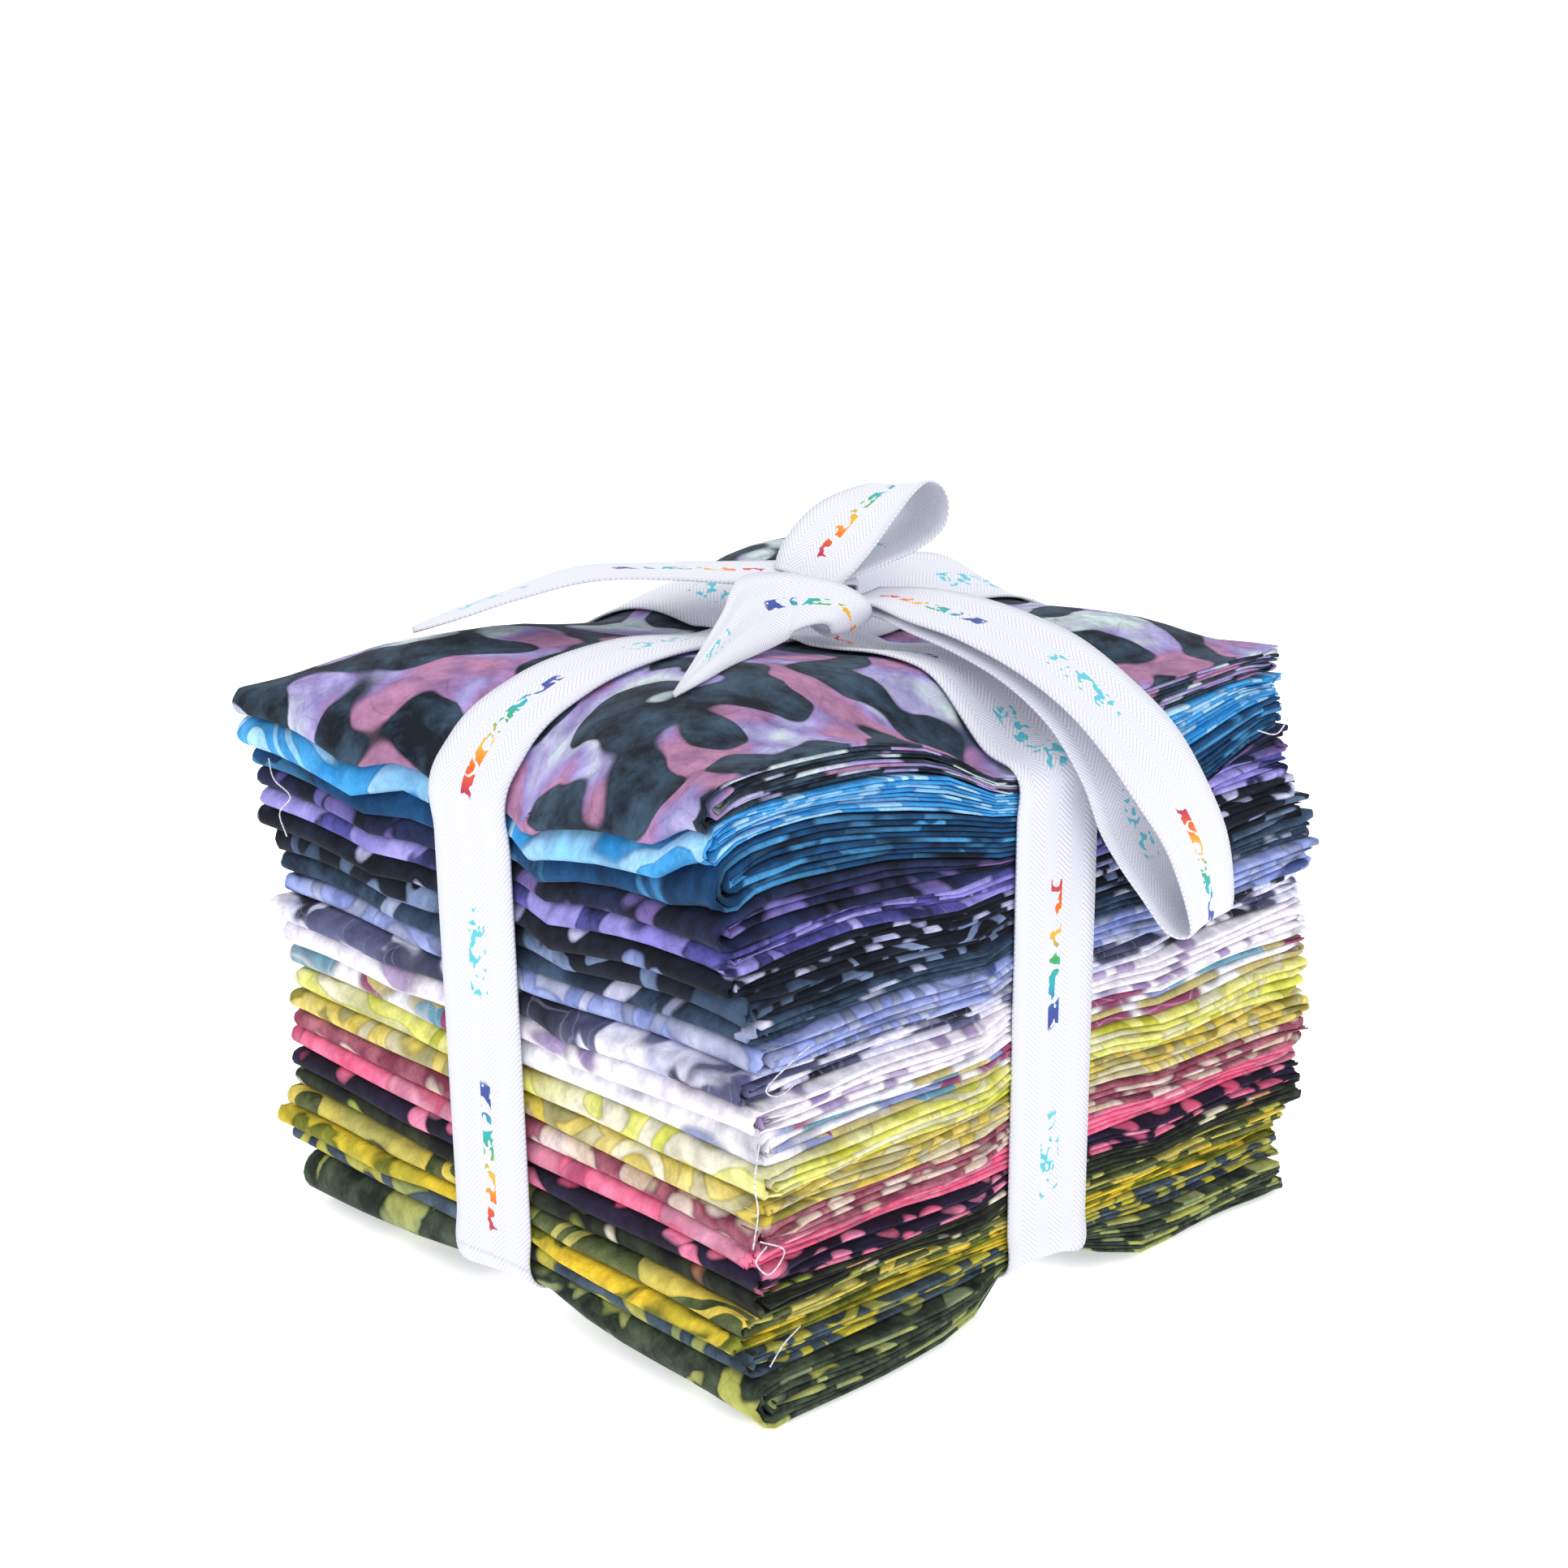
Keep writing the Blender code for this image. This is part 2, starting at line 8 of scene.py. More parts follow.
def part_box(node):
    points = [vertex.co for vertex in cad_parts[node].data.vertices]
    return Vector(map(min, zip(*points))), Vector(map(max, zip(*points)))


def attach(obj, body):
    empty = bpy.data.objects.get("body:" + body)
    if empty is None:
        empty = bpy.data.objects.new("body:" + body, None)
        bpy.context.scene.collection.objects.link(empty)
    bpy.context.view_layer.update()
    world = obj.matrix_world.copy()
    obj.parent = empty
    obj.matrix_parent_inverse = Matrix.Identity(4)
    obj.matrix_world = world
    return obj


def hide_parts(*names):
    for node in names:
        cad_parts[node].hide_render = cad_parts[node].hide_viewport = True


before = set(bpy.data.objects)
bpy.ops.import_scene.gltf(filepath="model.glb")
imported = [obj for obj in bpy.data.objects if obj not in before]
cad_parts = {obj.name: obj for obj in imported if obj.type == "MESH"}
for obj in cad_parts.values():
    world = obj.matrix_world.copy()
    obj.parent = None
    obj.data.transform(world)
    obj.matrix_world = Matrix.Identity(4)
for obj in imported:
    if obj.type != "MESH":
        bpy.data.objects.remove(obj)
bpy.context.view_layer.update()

print("frame loaded:", len(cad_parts), "solids")

# Lengths are in millimetres, with the middle of the stack at x = 0 and y = 0,
# until a mesh is made. toFrame then gives the frame's own place in metres.
stack = {
    "width": 116.0,        # a quarter of the cut's 18 inches, with the bulge of its folds
    "depth": 133.0,        # a quarter of its 21 inches
    "cutWidth": 457.0,
    "cutLength": 533.0,
    "crown": {"near": 12.2, "left": 10.4, "back": 15.4, "right": 8.4},    # rise of the top's four lobes
    "crownPower": 7.0,     # how late it falls off towards the edges
    "leftPower": 3.4,      # the same towards the left edge
    "valley": 2.4,         # how deep a band lies in the crown
    "topSag": 8.0,         # how far the top edge is pulled down under a band
    "valleyHalf": 10.3,    # half of a valley's flat floor
    "lobeBlend": 24.0,     # width over which one lobe's height turns into the next one's
    "crownFade": 33.0,     # where a valley ends, from the band's middle
    "sagFade": 47.0,       # where the pull on the sides ends
    "puffed": 3,           # top fat quarters that take up the crown
    "coreRise": 5.0,       # how much the fat quarters below them still swell in the middle
    "coreDepth": 17,       # and how many of them do
    "arch": 5.0,           # how far the bands lift the underside
    "archFade": 27.0,
    "pinch": 1.2,          # how far a band pulls the sides in
    "pinchFade": 24.0,     # where that ends
    "rough": (0.16, 42),   # unevenness of each level: height and wavelength
    "calm": {"start": 9, "wrinkles": 16, "levels": 20},    # how far a band keeps the cloth smooth
    "backAndForth": (0, 1, 2, 21),    # strips folded like that show more folds on the right
    "leftOut": 2.2,        # how far the lower fat quarters stand out on the left
    "endTrim": {20: 3.0, 21: 4.5},    # shorter ones at the bottom
    "rideUp": {"start": 36, "startNear": 46, "blend": 14, "full": 56},
    # Heights along the right face, where the top fat quarters ride up between the
    # places above: y, then z.
    "rightLevels": {
        0: ((-66.5, -62, -44, -32, -17, -12, -7, 2.7, 12, 17, 30, 59, 66.5),
            (99.5, 103.9, 104.2, 103.3, 99.6, 95.5, 92.5, 91.5, 93.5, 97.0, 99.5, 100.6, 99.5)),
        1: ((-66.5, -60, -42, -28, -18, -11, -7, 2.7, 12, 31, 59, 66.5),
            (95.0, 98.1, 97.7, 96.9, 95.0, 92.5, 89.5, 88.0, 89.5, 94.1, 95.3, 94.5)),
        2: ((-66.5, -60, -50, -40, -27, -8, 2.7, 12, 37, 59, 66.5),
            (90.0, 93.0, 93.4, 93.2, 90.7, 86.0, 84.0, 84.5, 86.0, 91.0, 91.0)),
        3: ((-66.5, -59, -50, -31, -7, 2.7, 12, 42, 61, 66.5),
            (81.9, 84.9, 85.4, 83.7, 78.8, 78.0, 78.5, 79.1, 85.3, 85.5)),
    },
    "rimWidth": {"front": (50, 14), "right": (44, 12)},    # where the rim starts, and over what width
    # The underside's rim: along the front face, x then z, and the right face, y then z.
    "rimFront": ((-57, -42, -28, -21, -14.6, -8, -1.5, 6, 11, 17, 23, 29, 40, 52, 58),
                 (1.7, 2.0, 3.0, 3.7, 4.5, 5.8, 6.7, 6.8, 6.4, 4.8, 3.6, 3.1, 2.6, 2.1, 1.5)),
    "rimRight": ((-66, -60, -25, -17, -11, -5, 2.7, 10, 17, 25, 66),
                 (1.5, 0.5, 0.6, 1.8, 6.0, 7.0, 7.0, 6.0, 2.0, 0.6, 0.8)),
}
ribbon = {
    "width": 19.0,         # three quarters of an inch
    "thick": 0.42,
    "bandX": -3.8,         # middle of the band that runs front to back
    "bandY": 2.7,          # middle of the band that runs side to side
    "lean": 1.4,           # how far the front band leans to the right as it goes down
    "roughness": 0.8,      # matt cotton tape, a little fuzzy
    "sheen": 0.15,
    "colour": "e6e7f0",
    # The shade colour is painted shade, the darker tone drawn between the ribs of the white tape.
    "shade": "cbcedb",     # between the ribs
    "stripe": 3.2,         # width in which the ribs lean one way
    "rib": 0.9,
    "marks": {"repeat": 74.0, "dabs": "b0234f e8641c f2b134 3aa655 2ba9bd 3b4d9a", "dabsHalf": 1.3,
              "wash": "5ec3d2", "washHalf": 2.2},
    "cornerClear": 0.85,   # extra room round the stack's edges
    "bandClear": 0.62,     # from the cloth to the tape's middle
    "crossClear": 0.55,    # more of it where one band crosses the other
    "leastFlat": 0.31,     # least share of a stretch's width times length that is flat cloth
}

# The fat quarters from the top down: thickness at the left, near and right corner,
# how far out of line along X and Y, the sag of the underside at the bands, then
# the batik's style, scale in mm, share of the cloth that its motif covers, and
# the colours of ground and motif.
quarterColumns = ("left", "near", "right", "shiftX", "shiftY", "sag",
                  "style", "scale", "cover", "ground", "motif")
quarterRows = (
    (5.4, 4.9, 5.0, -4.2, -4.6, 5.5, "curl", 13, 0.50, "111823 384d60",
     "c6d6d6 b4b0d6 9d92ca a47cab b27fa0"),
    (5.3, 4.8, 4.4, -4.0, -4.2, 4.5, "swirl", 16, 0.40, "2484c6 4ba4de", "b0dcf6 7cc0ee"),
    (3.6, 4.6, 4.2, -3.2, -2.6, 3.8, "blotch", 16, 0.46, "0d2f50 174e7c", "4fa4de 0b1626"),
    (3.5, 3.6, 3.7, -2.4, -2.2, 3.8, "leaf", 14, 0.46, "0d1220 243056", "7a5c92 6f6cb0"),
    (3.5, 3.5, 3.7, -2.0, -1.8, 3.8, "blotch", 12, 0.50, "23284c 5656a6", "8a84d2 aca4e6"),
    (4.0, 3.6, 3.8, -1.0, -1.8, 3.5, "dot", 10, 0.50, "090c14 182032", "dcdaf6 7888ba"),
    (4.5, 3.9, 3.9, 0.5, 0.0, 2.8, "swirl", 15, 0.34, "0b0f17 1a2232", "3b5068 8ea2c8"),
    (4.0, 4.2, 4.4, 0.5, 1.3, 2.2, "leaf", 12, 0.42, "18273a 3a5068", "e2def4 7a90b2"),
    (3.8, 4.7, 5.4, 1.0, 1.8, 1.8, "ring", 15, 0.42, "7c8cc8 a4b1e2", "46588c d6dcf4"),
    (4.2, 4.1, 5.0, 0.0, -1.0, 1.5, "blotch", 14, 0.48, "c4c6e2 efecf3", "22222c 6f749c"),
    (4.8, 4.6, 5.2, 1.4, 0.0, 1.0, "leaf", 15, 0.42, "e9e3ee f5f2f6", "9c86b8 c9b4d4"),
    (4.2, 5.4, 5.8, 1.0, 1.8, 0.5, "confetti", 17, 0.62, "f3f2f5 e4e4ea",
     "9c4c74 6fa0b4 c9bb7c 8c98c8"),
    (4.2, 5.2, 6.4, 1.8, 1.8, 0.0, "swirl", 19, 0.40, "d2d45c e6e39a", "f0ecd0 c2c23c"),
    (3.7, 4.1, 5.6, 1.0, 1.4, -0.3, "ring", 14, 0.46, "c9b346 e2d184", "f0e8ca 948c3c"),
    (3.5, 3.6, 4.2, 1.8, 1.4, 0.5, "dot", 11, 0.58, "7c364e b4707e", "eedad2 d6bea4"),
    (3.5, 3.7, 3.7, 0.0, 1.4, 1.0, "blotch", 15, 0.42, "e65c84 f084a4", "f7b6cb b8406a"),
    (3.7, 3.5, 3.6, 1.4, 1.0, 1.0, "dot", 11, 0.50, "141020 2a2240", "e2668c f69cbc"),
    (3.6, 3.7, 4.0, 1.0, 1.8, 0.8, "confetti", 11, 0.42, "18181a 363e2c",
     "d6cea8 cc9068 9fae4c e6dec2"),
    (3.9, 3.5, 3.6, 0.0, 0.0, 0.4, "swirl", 15, 0.48, "303a1c 6c764a", "e6cc54 b0b46c"),
    (3.6, 3.7, 3.5, -1.4, -1.0, -0.6, "blotch", 13, 0.52, "4e5618 949630", "f6ce34 c8bc3c"),
    (4.0, 3.7, 3.5, -0.5, 1.0, -1.0, "ring", 15, 0.46, "26323e 566878", "d8ca44 96a468"),
    (10.4, 8.9, 5.8, 1.6, 0.6, 0.0, "blotch", 12, 0.38, "1a241e 4c5a48", "bcbe62 8a9c78"),
)
quarters = [dict(zip(quarterColumns, row)) for row in quarterRows]
bottom = len(quarters)

# The middle of each band's CAD solid says where the stack stands in the frame.
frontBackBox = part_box("ribbon_band_front_back")
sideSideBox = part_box("ribbon_band_side_side")
shiftX = (frontBackBox[0][0] + frontBackBox[1][0]) / 2 - ribbon["bandX"] / 1000
shiftY = (sideSideBox[0][1] + sideSideBox[1][1]) / 2 - ribbon["bandY"] / 1000


def toFrame(x, y, z):
    return (x / 1000 + shiftX, y / 1000 + shiftY, z / 1000)


def linearColour(text):
    channels = [int(text[n:n + 2], 16) / 255 for n in (0, 2, 4)]
    linear = [c / 12.92 if c <= 0.04045 else ((c + 0.055) / 1.055) ** 2.4 for c in channels]
    return (*linear, 1.0)


addToScene = bpy.context.scene.collection.objects.link


def addNode(tree, kind, settings=None, links=None):
    # Adds a shader node. A setting is a property's name, an input's name or
    # number, or the stops of a colour ramp; a link comes from a socket or from a
    # node's first output.
    node = tree.nodes.new("ShaderNode" + kind)
    for name, value in (settings or {}).items():
        if name == "stops":
            fillRamp(node.color_ramp.elements, value)
        elif isinstance(name, str) and hasattr(node, name):
            setattr(node, name, value)
        else:
            node.inputs[name].default_value = value
    for name, source in (links or {}).items():
        tree.links.new(getattr(source, "outputs", [source])[0], node.inputs[name])
    return node


def fillRamp(elements, stops):
    while len(elements) < len(stops):
        elements.new(0.5)
    for element, (position, colour) in zip(elements, stops):
        element.position = position
        element.color = colour


mixing = {"data_type": "RGBA"}
multiplying = {"data_type": "RGBA", "blend_type": "MULTIPLY", 0: 1.0}


def grey(level):
    return (level, level, level, 1.0)


white, black = grey(1.0), grey(0.0)


def newMaterial(name, roughness, sheen):
    # Matt cotton or paper, with the fuzz of its fibres as sheen.
    material = bpy.data.materials.new(name)
    material.use_nodes = True
    shader = material.node_tree.nodes["Principled BSDF"]
    for key, value in {"Roughness": roughness, "Sheen Weight": sheen, "Sheen Roughness": 0.5,
                       "IOR": 1.53, "Specular IOR Level": 0.15}.items():
        shader.inputs[key].default_value = value
    return material, material.node_tree, shader


cotton = {
    "roughness": 0.88,     # dull, like washed quilting cotton
    "sheen": 0.04,
    "weave": 0.85,         # spacing of the drawn threads in mm; real ones are 0.37 mm apart
    "weaveHeight": 0.07,
    "motifScale": {"leaf": 0.9, "dot": 1.6, "confetti": 1.25},
    "cracks": 1.7,         # veins to one print scale
}


def batikCotton(name, look, seed):
    # Hand-dyed plain-weave cotton: a mottled ground, a print with soft dyed
    # edges and fine veins where the dye crept through cracks in the wax. They
    # give the eye the uneven colour that tells batik from machine print.
    material, tree, shader = newMaterial(name, cotton["roughness"], cotton["sheen"])
    style, cover = look["style"], look["cover"]
    ground = [linearColour(c) for c in look["ground"].split()]
    motif = [linearColour(c) for c in look["motif"].split()]
    flat = addNode(tree, "UVMap")
    place = addNode(tree, "Mapping", {
        "Location": (seed * 3.7, seed * 1.9, 0.0), "Rotation": (0.0, 0.0, seed * 0.7),
        "Scale": (1000 / look["scale"],) * 3}, {"Vector": flat})
    creep = addNode(tree, "TexNoise", {"Scale": 1.1, "Detail": 1.0}, {"Vector": place})
    warp = 0.5 if style in ("curl", "ring", "dot") else 0.8
    bent = addNode(tree, "VectorMath", {"operation": "MULTIPLY_ADD", 1: (warp, warp, 0.0)},
                   {0: creep.outputs["Color"], 2: place})

    mottle = addNode(tree, "TexNoise", {"Scale": 1.5, "Detail": 6.0, "Roughness": 0.65},
                     {"Vector": place})
    colour = addNode(tree, "ValToRGB", {"stops": [(0.4, ground[0]), (0.62, ground[1])]},
                     {"Fac": mottle})

    celled = style in ("leaf", "dot", "confetti")
    level = cover - 0.1 if celled else 1 - cover
    if style == "blotch":
        shape = addNode(tree, "TexNoise", {"Scale": 0.95, "Detail": 2.0, "Distortion": 0.6},
                        {"Vector": bent})
        level = 0.5 + (0.5 - cover) * 0.5
        soft = 0.012
    elif style == "curl":
        # Bold curls of an even width, like brushed wax.
        shape = addNode(tree, "TexGabor", {"Scale": 0.75, "Frequency": 0.85, "Anisotropy": 0.0},
                        {"Vector": bent})
        level = 0.5 + (0.5 - cover) * 0.6
        soft = 0.007
    elif style == "swirl":
        # Contours of a soft noise.
        hills = addNode(tree, "TexNoise", {"Scale": 0.62, "Detail": 0.6, "Distortion": 1.1},
                        {"Vector": bent})
        steep = addNode(tree, "Math", {"operation": "MULTIPLY", 1: 9.0}, {0: hills})
        shape = addNode(tree, "Math", {"operation": "PINGPONG", 1: 1.0}, {0: steep})
        soft = 0.03
    elif style == "ring":
        cells = addNode(tree, "TexVoronoi", {"Scale": 1.0, "Randomness": 0.85},
                        {"Vector": bent})
        shape = addNode(tree, "Math", {"operation": "PINGPONG", 1: 0.16}, {0: cells})
        shape = addNode(tree, "Math", {"operation": "MULTIPLY", 1: 6.2}, {0: shape})
        soft = 0.06
    else:
        stretch = (2.3, 0.8, 1.0) if style == "leaf" else (1.0, 1.0, 1.0)
        stretched = addNode(tree, "Mapping", {"Scale": stretch, "Rotation": (0.0, 0.0, 0.6)},
                            {"Vector": bent})
        size = cotton["motifScale"][style]
        shape = addNode(tree, "TexVoronoi", {"Scale": size}, {"Vector": stretched})
        soft = 0.03
    inside, outside = (white, black) if celled else (black, white)
    mask = addNode(tree, "ValToRGB", {"stops": [(level - soft, inside), (level + soft, outside)]},
                   {"Fac": shape})
    # Dye that pools along a motif's edge.
    stops = [(level - 3 * soft, black), (level, grey(0.5)), (level + 3 * soft, black)]
    pooled = addNode(tree, "ValToRGB", {"stops": stops}, {"Fac": shape})

    if style == "confetti":
        pick = addNode(tree, "TexVoronoi", {"Scale": size}, {"Vector": bent})
        tint = addNode(tree, "SeparateColor", links={"Color": pick.outputs["Color"]}).outputs["Red"]
        stops = [(n / len(motif), c) for n, c in enumerate(motif)]
    else:
        tint = addNode(tree, "TexNoise", {"Scale": 0.6, "Detail": 3.0}, {"Vector": place})
        stops = [(0.38 + 0.26 * n / max(1, len(motif) - 1), c) for n, c in enumerate(motif)]
        if style == "curl":
            # The tint also runs from one corner of the folded square to the other.
            split = addNode(tree, "SeparateXYZ", links={"Vector": flat})
            both = addNode(tree, "Math", {"operation": "ADD"},
                           {0: split.outputs["X"], 1: split.outputs["Y"]})
            back = addNode(tree, "Math", {"operation": "PINGPONG", 1: 0.249}, {0: both})
            tint = addNode(tree, "Math", {"operation": "MULTIPLY_ADD", 1: 1.5},
                           {0: tint, 2: back})
            tint = addNode(tree, "Math", {"operation": "SUBTRACT", 1: 0.3}, {0: tint})
            stops = [(0.46 + 0.075 * n, c) for n, c in enumerate(motif)]
    motifColour = addNode(tree, "ValToRGB", {"stops": stops}, {"Fac": tint})
    if style == "confetti":
        motifColour.color_ramp.interpolation = "CONSTANT"
    streaks = addNode(tree, "ValToRGB", {"stops": [(0.35, (0.7, 0.7, 0.74, 1.0)), (0.6, white)]},
                      {"Fac": mottle})
    motifColour = addNode(tree, "Mix", multiplying, {6: motifColour, 7: streaks}).outputs[2]
    colour = addNode(tree, "Mix", mixing, {0: mask, 6: colour, 7: motifColour}).outputs[2]
    darkDye = (*(c * 0.4 for c in ground[0][:3]), 1.0)
    colour = addNode(tree, "Mix", {**mixing, 7: darkDye}, {0: pooled, 6: colour}).outputs[2]

    # Fine veins of dye.
    cracks = addNode(tree, "TexVoronoi", {"feature": "DISTANCE_TO_EDGE", "Scale": cotton["cracks"]},
                     {"Vector": bent})
    vein = addNode(tree, "ValToRGB", {"stops": [(0.006, grey(0.16)), (0.02, black)]},
                   {"Fac": cracks})
    colour = addNode(tree, "Mix", {**mixing, 7: ground[0]}, {0: vein, 6: colour}).outputs[2]

    # Fine mottling, where the dye took unevenly.
    grain = addNode(tree, "TexNoise", {"Scale": 0.3 * look["scale"], "Detail": 5.0, "Roughness": 0.7},
                    {"Vector": place})
    stops = [(0.36, (0.78, 0.78, 0.82, 1.0)), (0.62, grey(1.16))]
    uneven = addNode(tree, "ValToRGB", {"stops": stops}, {"Fac": grain})
    colour = addNode(tree, "Mix", multiplying, {6: colour, 7: uneven}).outputs[2]

    # Plain weave, drawn coarser than the real threads so that it shows, as bumps and as painted shade in
    # the hollows between the threads.
    crossed = weaveBump(tree, shader, flat, cotton["weave"], cotton["weaveHeight"] / 1000)
    shade = addNode(tree, "ValToRGB", {"stops": [(0.2, (0.9, 0.9, 0.91, 1.0)), (0.9, white)]},
                    {"Fac": crossed})
    colour = addNode(tree, "Mix", multiplying, {6: colour, 7: shade}).outputs[2]
    tree.links.new(colour, shader.inputs["Base Color"])
    return material


def weaveBump(tree, shader, flat, spacing, height):
    threads = {n: addNode(tree, "TexWave", {
        "bands_direction": direction, "Scale": 50 / spacing, "Distortion": 1.6, "Detail": 1.0},
        {"Vector": flat}).outputs["Fac"] for n, direction in enumerate(("X", "Y"))}
    crossed = addNode(tree, "Math", {"operation": "MAXIMUM"}, threads)
    bump = addNode(tree, "Bump", {"Strength": 0.5, "Distance": height}, {"Height": crossed})
    tree.links.new(bump.outputs["Normal"], shader.inputs["Normal"])
    return crossed


def herringboneTape(name):
    # White cotton tape in herringbone twill: matt, with ribs that lean one way
    # and then the other, which gives it its fine zigzag. Rainbow dabs and wider
    # teal ones take turns along its middle.
    material, tree, shader = newMaterial(name, ribbon["roughness"], ribbon["sheen"])
    flat = addNode(tree, "UVMap")
    split = addNode(tree, "SeparateXYZ", links={"Vector": flat})
    columns = addNode(tree, "Math", {"operation": "PINGPONG", 1: ribbon["stripe"] / 1000},
                      {0: split.outputs["X"]})
    slanted = addNode(tree, "Math", {"operation": "ADD"}, {0: columns, 1: split.outputs["Y"]})
    turns = addNode(tree, "Math", {"operation": "MULTIPLY", 1: 2000 * math.pi / ribbon["rib"]},
                    {0: slanted})
    ribs = addNode(tree, "Math", {"operation": "SINE"}, {0: turns})
    level = addNode(tree, "Math", {"operation": "MULTIPLY_ADD", 1: 0.5, 2: 0.5}, {0: ribs})
    # The ribs get painted shade in the hollows between them and the tape's colour on their crests.
    stops = [(0.0, linearColour(ribbon["shade"])), (0.55, linearColour(ribbon["colour"]))]
    colour = addNode(tree, "ValToRGB", {"stops": stops}, {"Fac": level})
    marks = ribbon["marks"]
    along = addNode(tree, "Math", {"operation": "DIVIDE", 1: marks["repeat"] / 1000},
                    {0: split.outputs["Y"]})
    repeat = addNode(tree, "Math", {"operation": "FRACT"}, {0: along})
    offMiddle = addNode(tree, "Math", {"operation": "SUBTRACT", 1: ribbon["width"] / 2000},
                        {0: split.outputs["X"]})
    offMiddle = addNode(tree, "Math", {"operation": "ABSOLUTE"}, {0: offMiddle})
    grain = addNode(tree, "TexNoise", {"Scale": 520.0, "Detail": 0.5, "Distortion": 0.8},
                    {"Vector": flat})
    stops = [(0.06 + 0.06 * n, linearColour(c)) for n, c in enumerate(marks["dabs"].split())]
    hue = addNode(tree, "ValToRGB", {"stops": stops}, {"Fac": repeat})
    wash = addNode(tree, "RGB").outputs["Color"]
    wash.default_value = linearColour(marks["wash"])
    for tint, half, (start, end), threshold in (
            (hue, marks["dabsHalf"], (0.05, 0.4), 0.5), (wash, marks["washHalf"], (0.6, 0.8), 0.57)):
        stops = [(start, black), (start + 0.01, white), (end, white), (end + 0.01, black)]
        window = addNode(tree, "ValToRGB", {"stops": stops}, {"Fac": repeat})
        near = addNode(tree, "Math", {"operation": "LESS_THAN", 1: half / 1000}, {0: offMiddle})
        dabs = addNode(tree, "Math", {"operation": "GREATER_THAN", 1: threshold}, {0: grain})
        both = addNode(tree, "Math", {"operation": "MULTIPLY"}, {0: near, 1: dabs})
        share = addNode(tree, "Math", {"operation": "MULTIPLY"}, {0: both, 1: window})
        colour = addNode(tree, "Mix", mixing, {0: share, 6: colour, 7: tint}).outputs[2]
    tree.links.new(colour, shader.inputs["Base Color"])
    bump = addNode(tree, "Bump", {"Strength": 0.5, "Distance": 0.0001}, {"Height": level})
    tree.links.new(bump.outputs["Normal"], shader.inputs["Normal"])
    return material


def smoothNoise(seed, x, y, wavelength):
    # A few sines in seeded directions; about -1 to 1.
    rng = np.random.default_rng(seed)
    total = np.zeros(np.broadcast(x, y).shape)
    for _ in range(5):
        angle = rng.uniform(0, 2 * math.pi)
        size = 2 * math.pi / (wavelength * rng.uniform(0.7, 1.5))
        along = x * math.cos(angle) + y * math.sin(angle)
        total = total + np.sin(size * along + rng.uniform(0, 6.28))
    return total / 3.2


def fade(distance, start, end):
    past = np.clip((np.abs(distance) - start) / (end - start), 0.0, 1.0)
    return 0.5 + 0.5 * np.cos(math.pi * past)


def between(first, last, share):
    return first + (last - first) * share


def cornerHeight(level, x, y):
    below = quarters[level:]
    left, near, right = (sum(row[post] for row in below) for post in ("left", "near", "right"))
    u = np.clip(x / stack["width"] + 0.5, 0, 1)
    v = np.clip(y / stack["depth"] + 0.5, 0, 1)
    return between(between(left, near, u), between((left + right) / 2, right, u), v)


def underBands(x, y, end, start=stack["valleyHalf"]):
    # 1 under each of the two bands and 0 away from it.
    return fade(x - ribbon["bandX"], start, end), fade(y - ribbon["bandY"], start, end)


def freeOfBands(x, y, end, start=stack["valleyHalf"]):
    underX, underY = underBands(x, y, end, start)
    return 1 - underX, 1 - underY


def sideSag(level, x, y, u, v):
    sag = stack["topSag"] if level == 0 else quarters[level - 1]["sag"]
    overX, overY = underBands(x, y, stack["sagFade"])
    return sag, overX * v + overY * u


def levelShift(level, key):
    # A level lies half-way between the fat quarters that share it.
    sharing = quarters[max(0, level - 1):level + 1]
    return sum(row[key] for row in sharing) / len(sharing)


def softTable(table, places):
    # A table's value at each place, with its corners rounded off.
    return sum(np.interp(places + step, table[0], table[1]) for step in (-3.0, -1.5, 0.0, 1.5, 3.0)) / 5


def ease(value):
    value = np.clip(value, 0.0, 1.0)
    return value * value * (3 - 2 * value)


def lobeCrown(x, y):
    overX = ease((x - ribbon["bandX"]) / stack["lobeBlend"] + 0.5)
    overY = ease((y - ribbon["bandY"]) / stack["lobeBlend"] + 0.5)
    lobes = stack["crown"]
    return between(between(lobes["left"], lobes["near"], overX),
                   between(lobes["back"], lobes["right"], overX), overY)


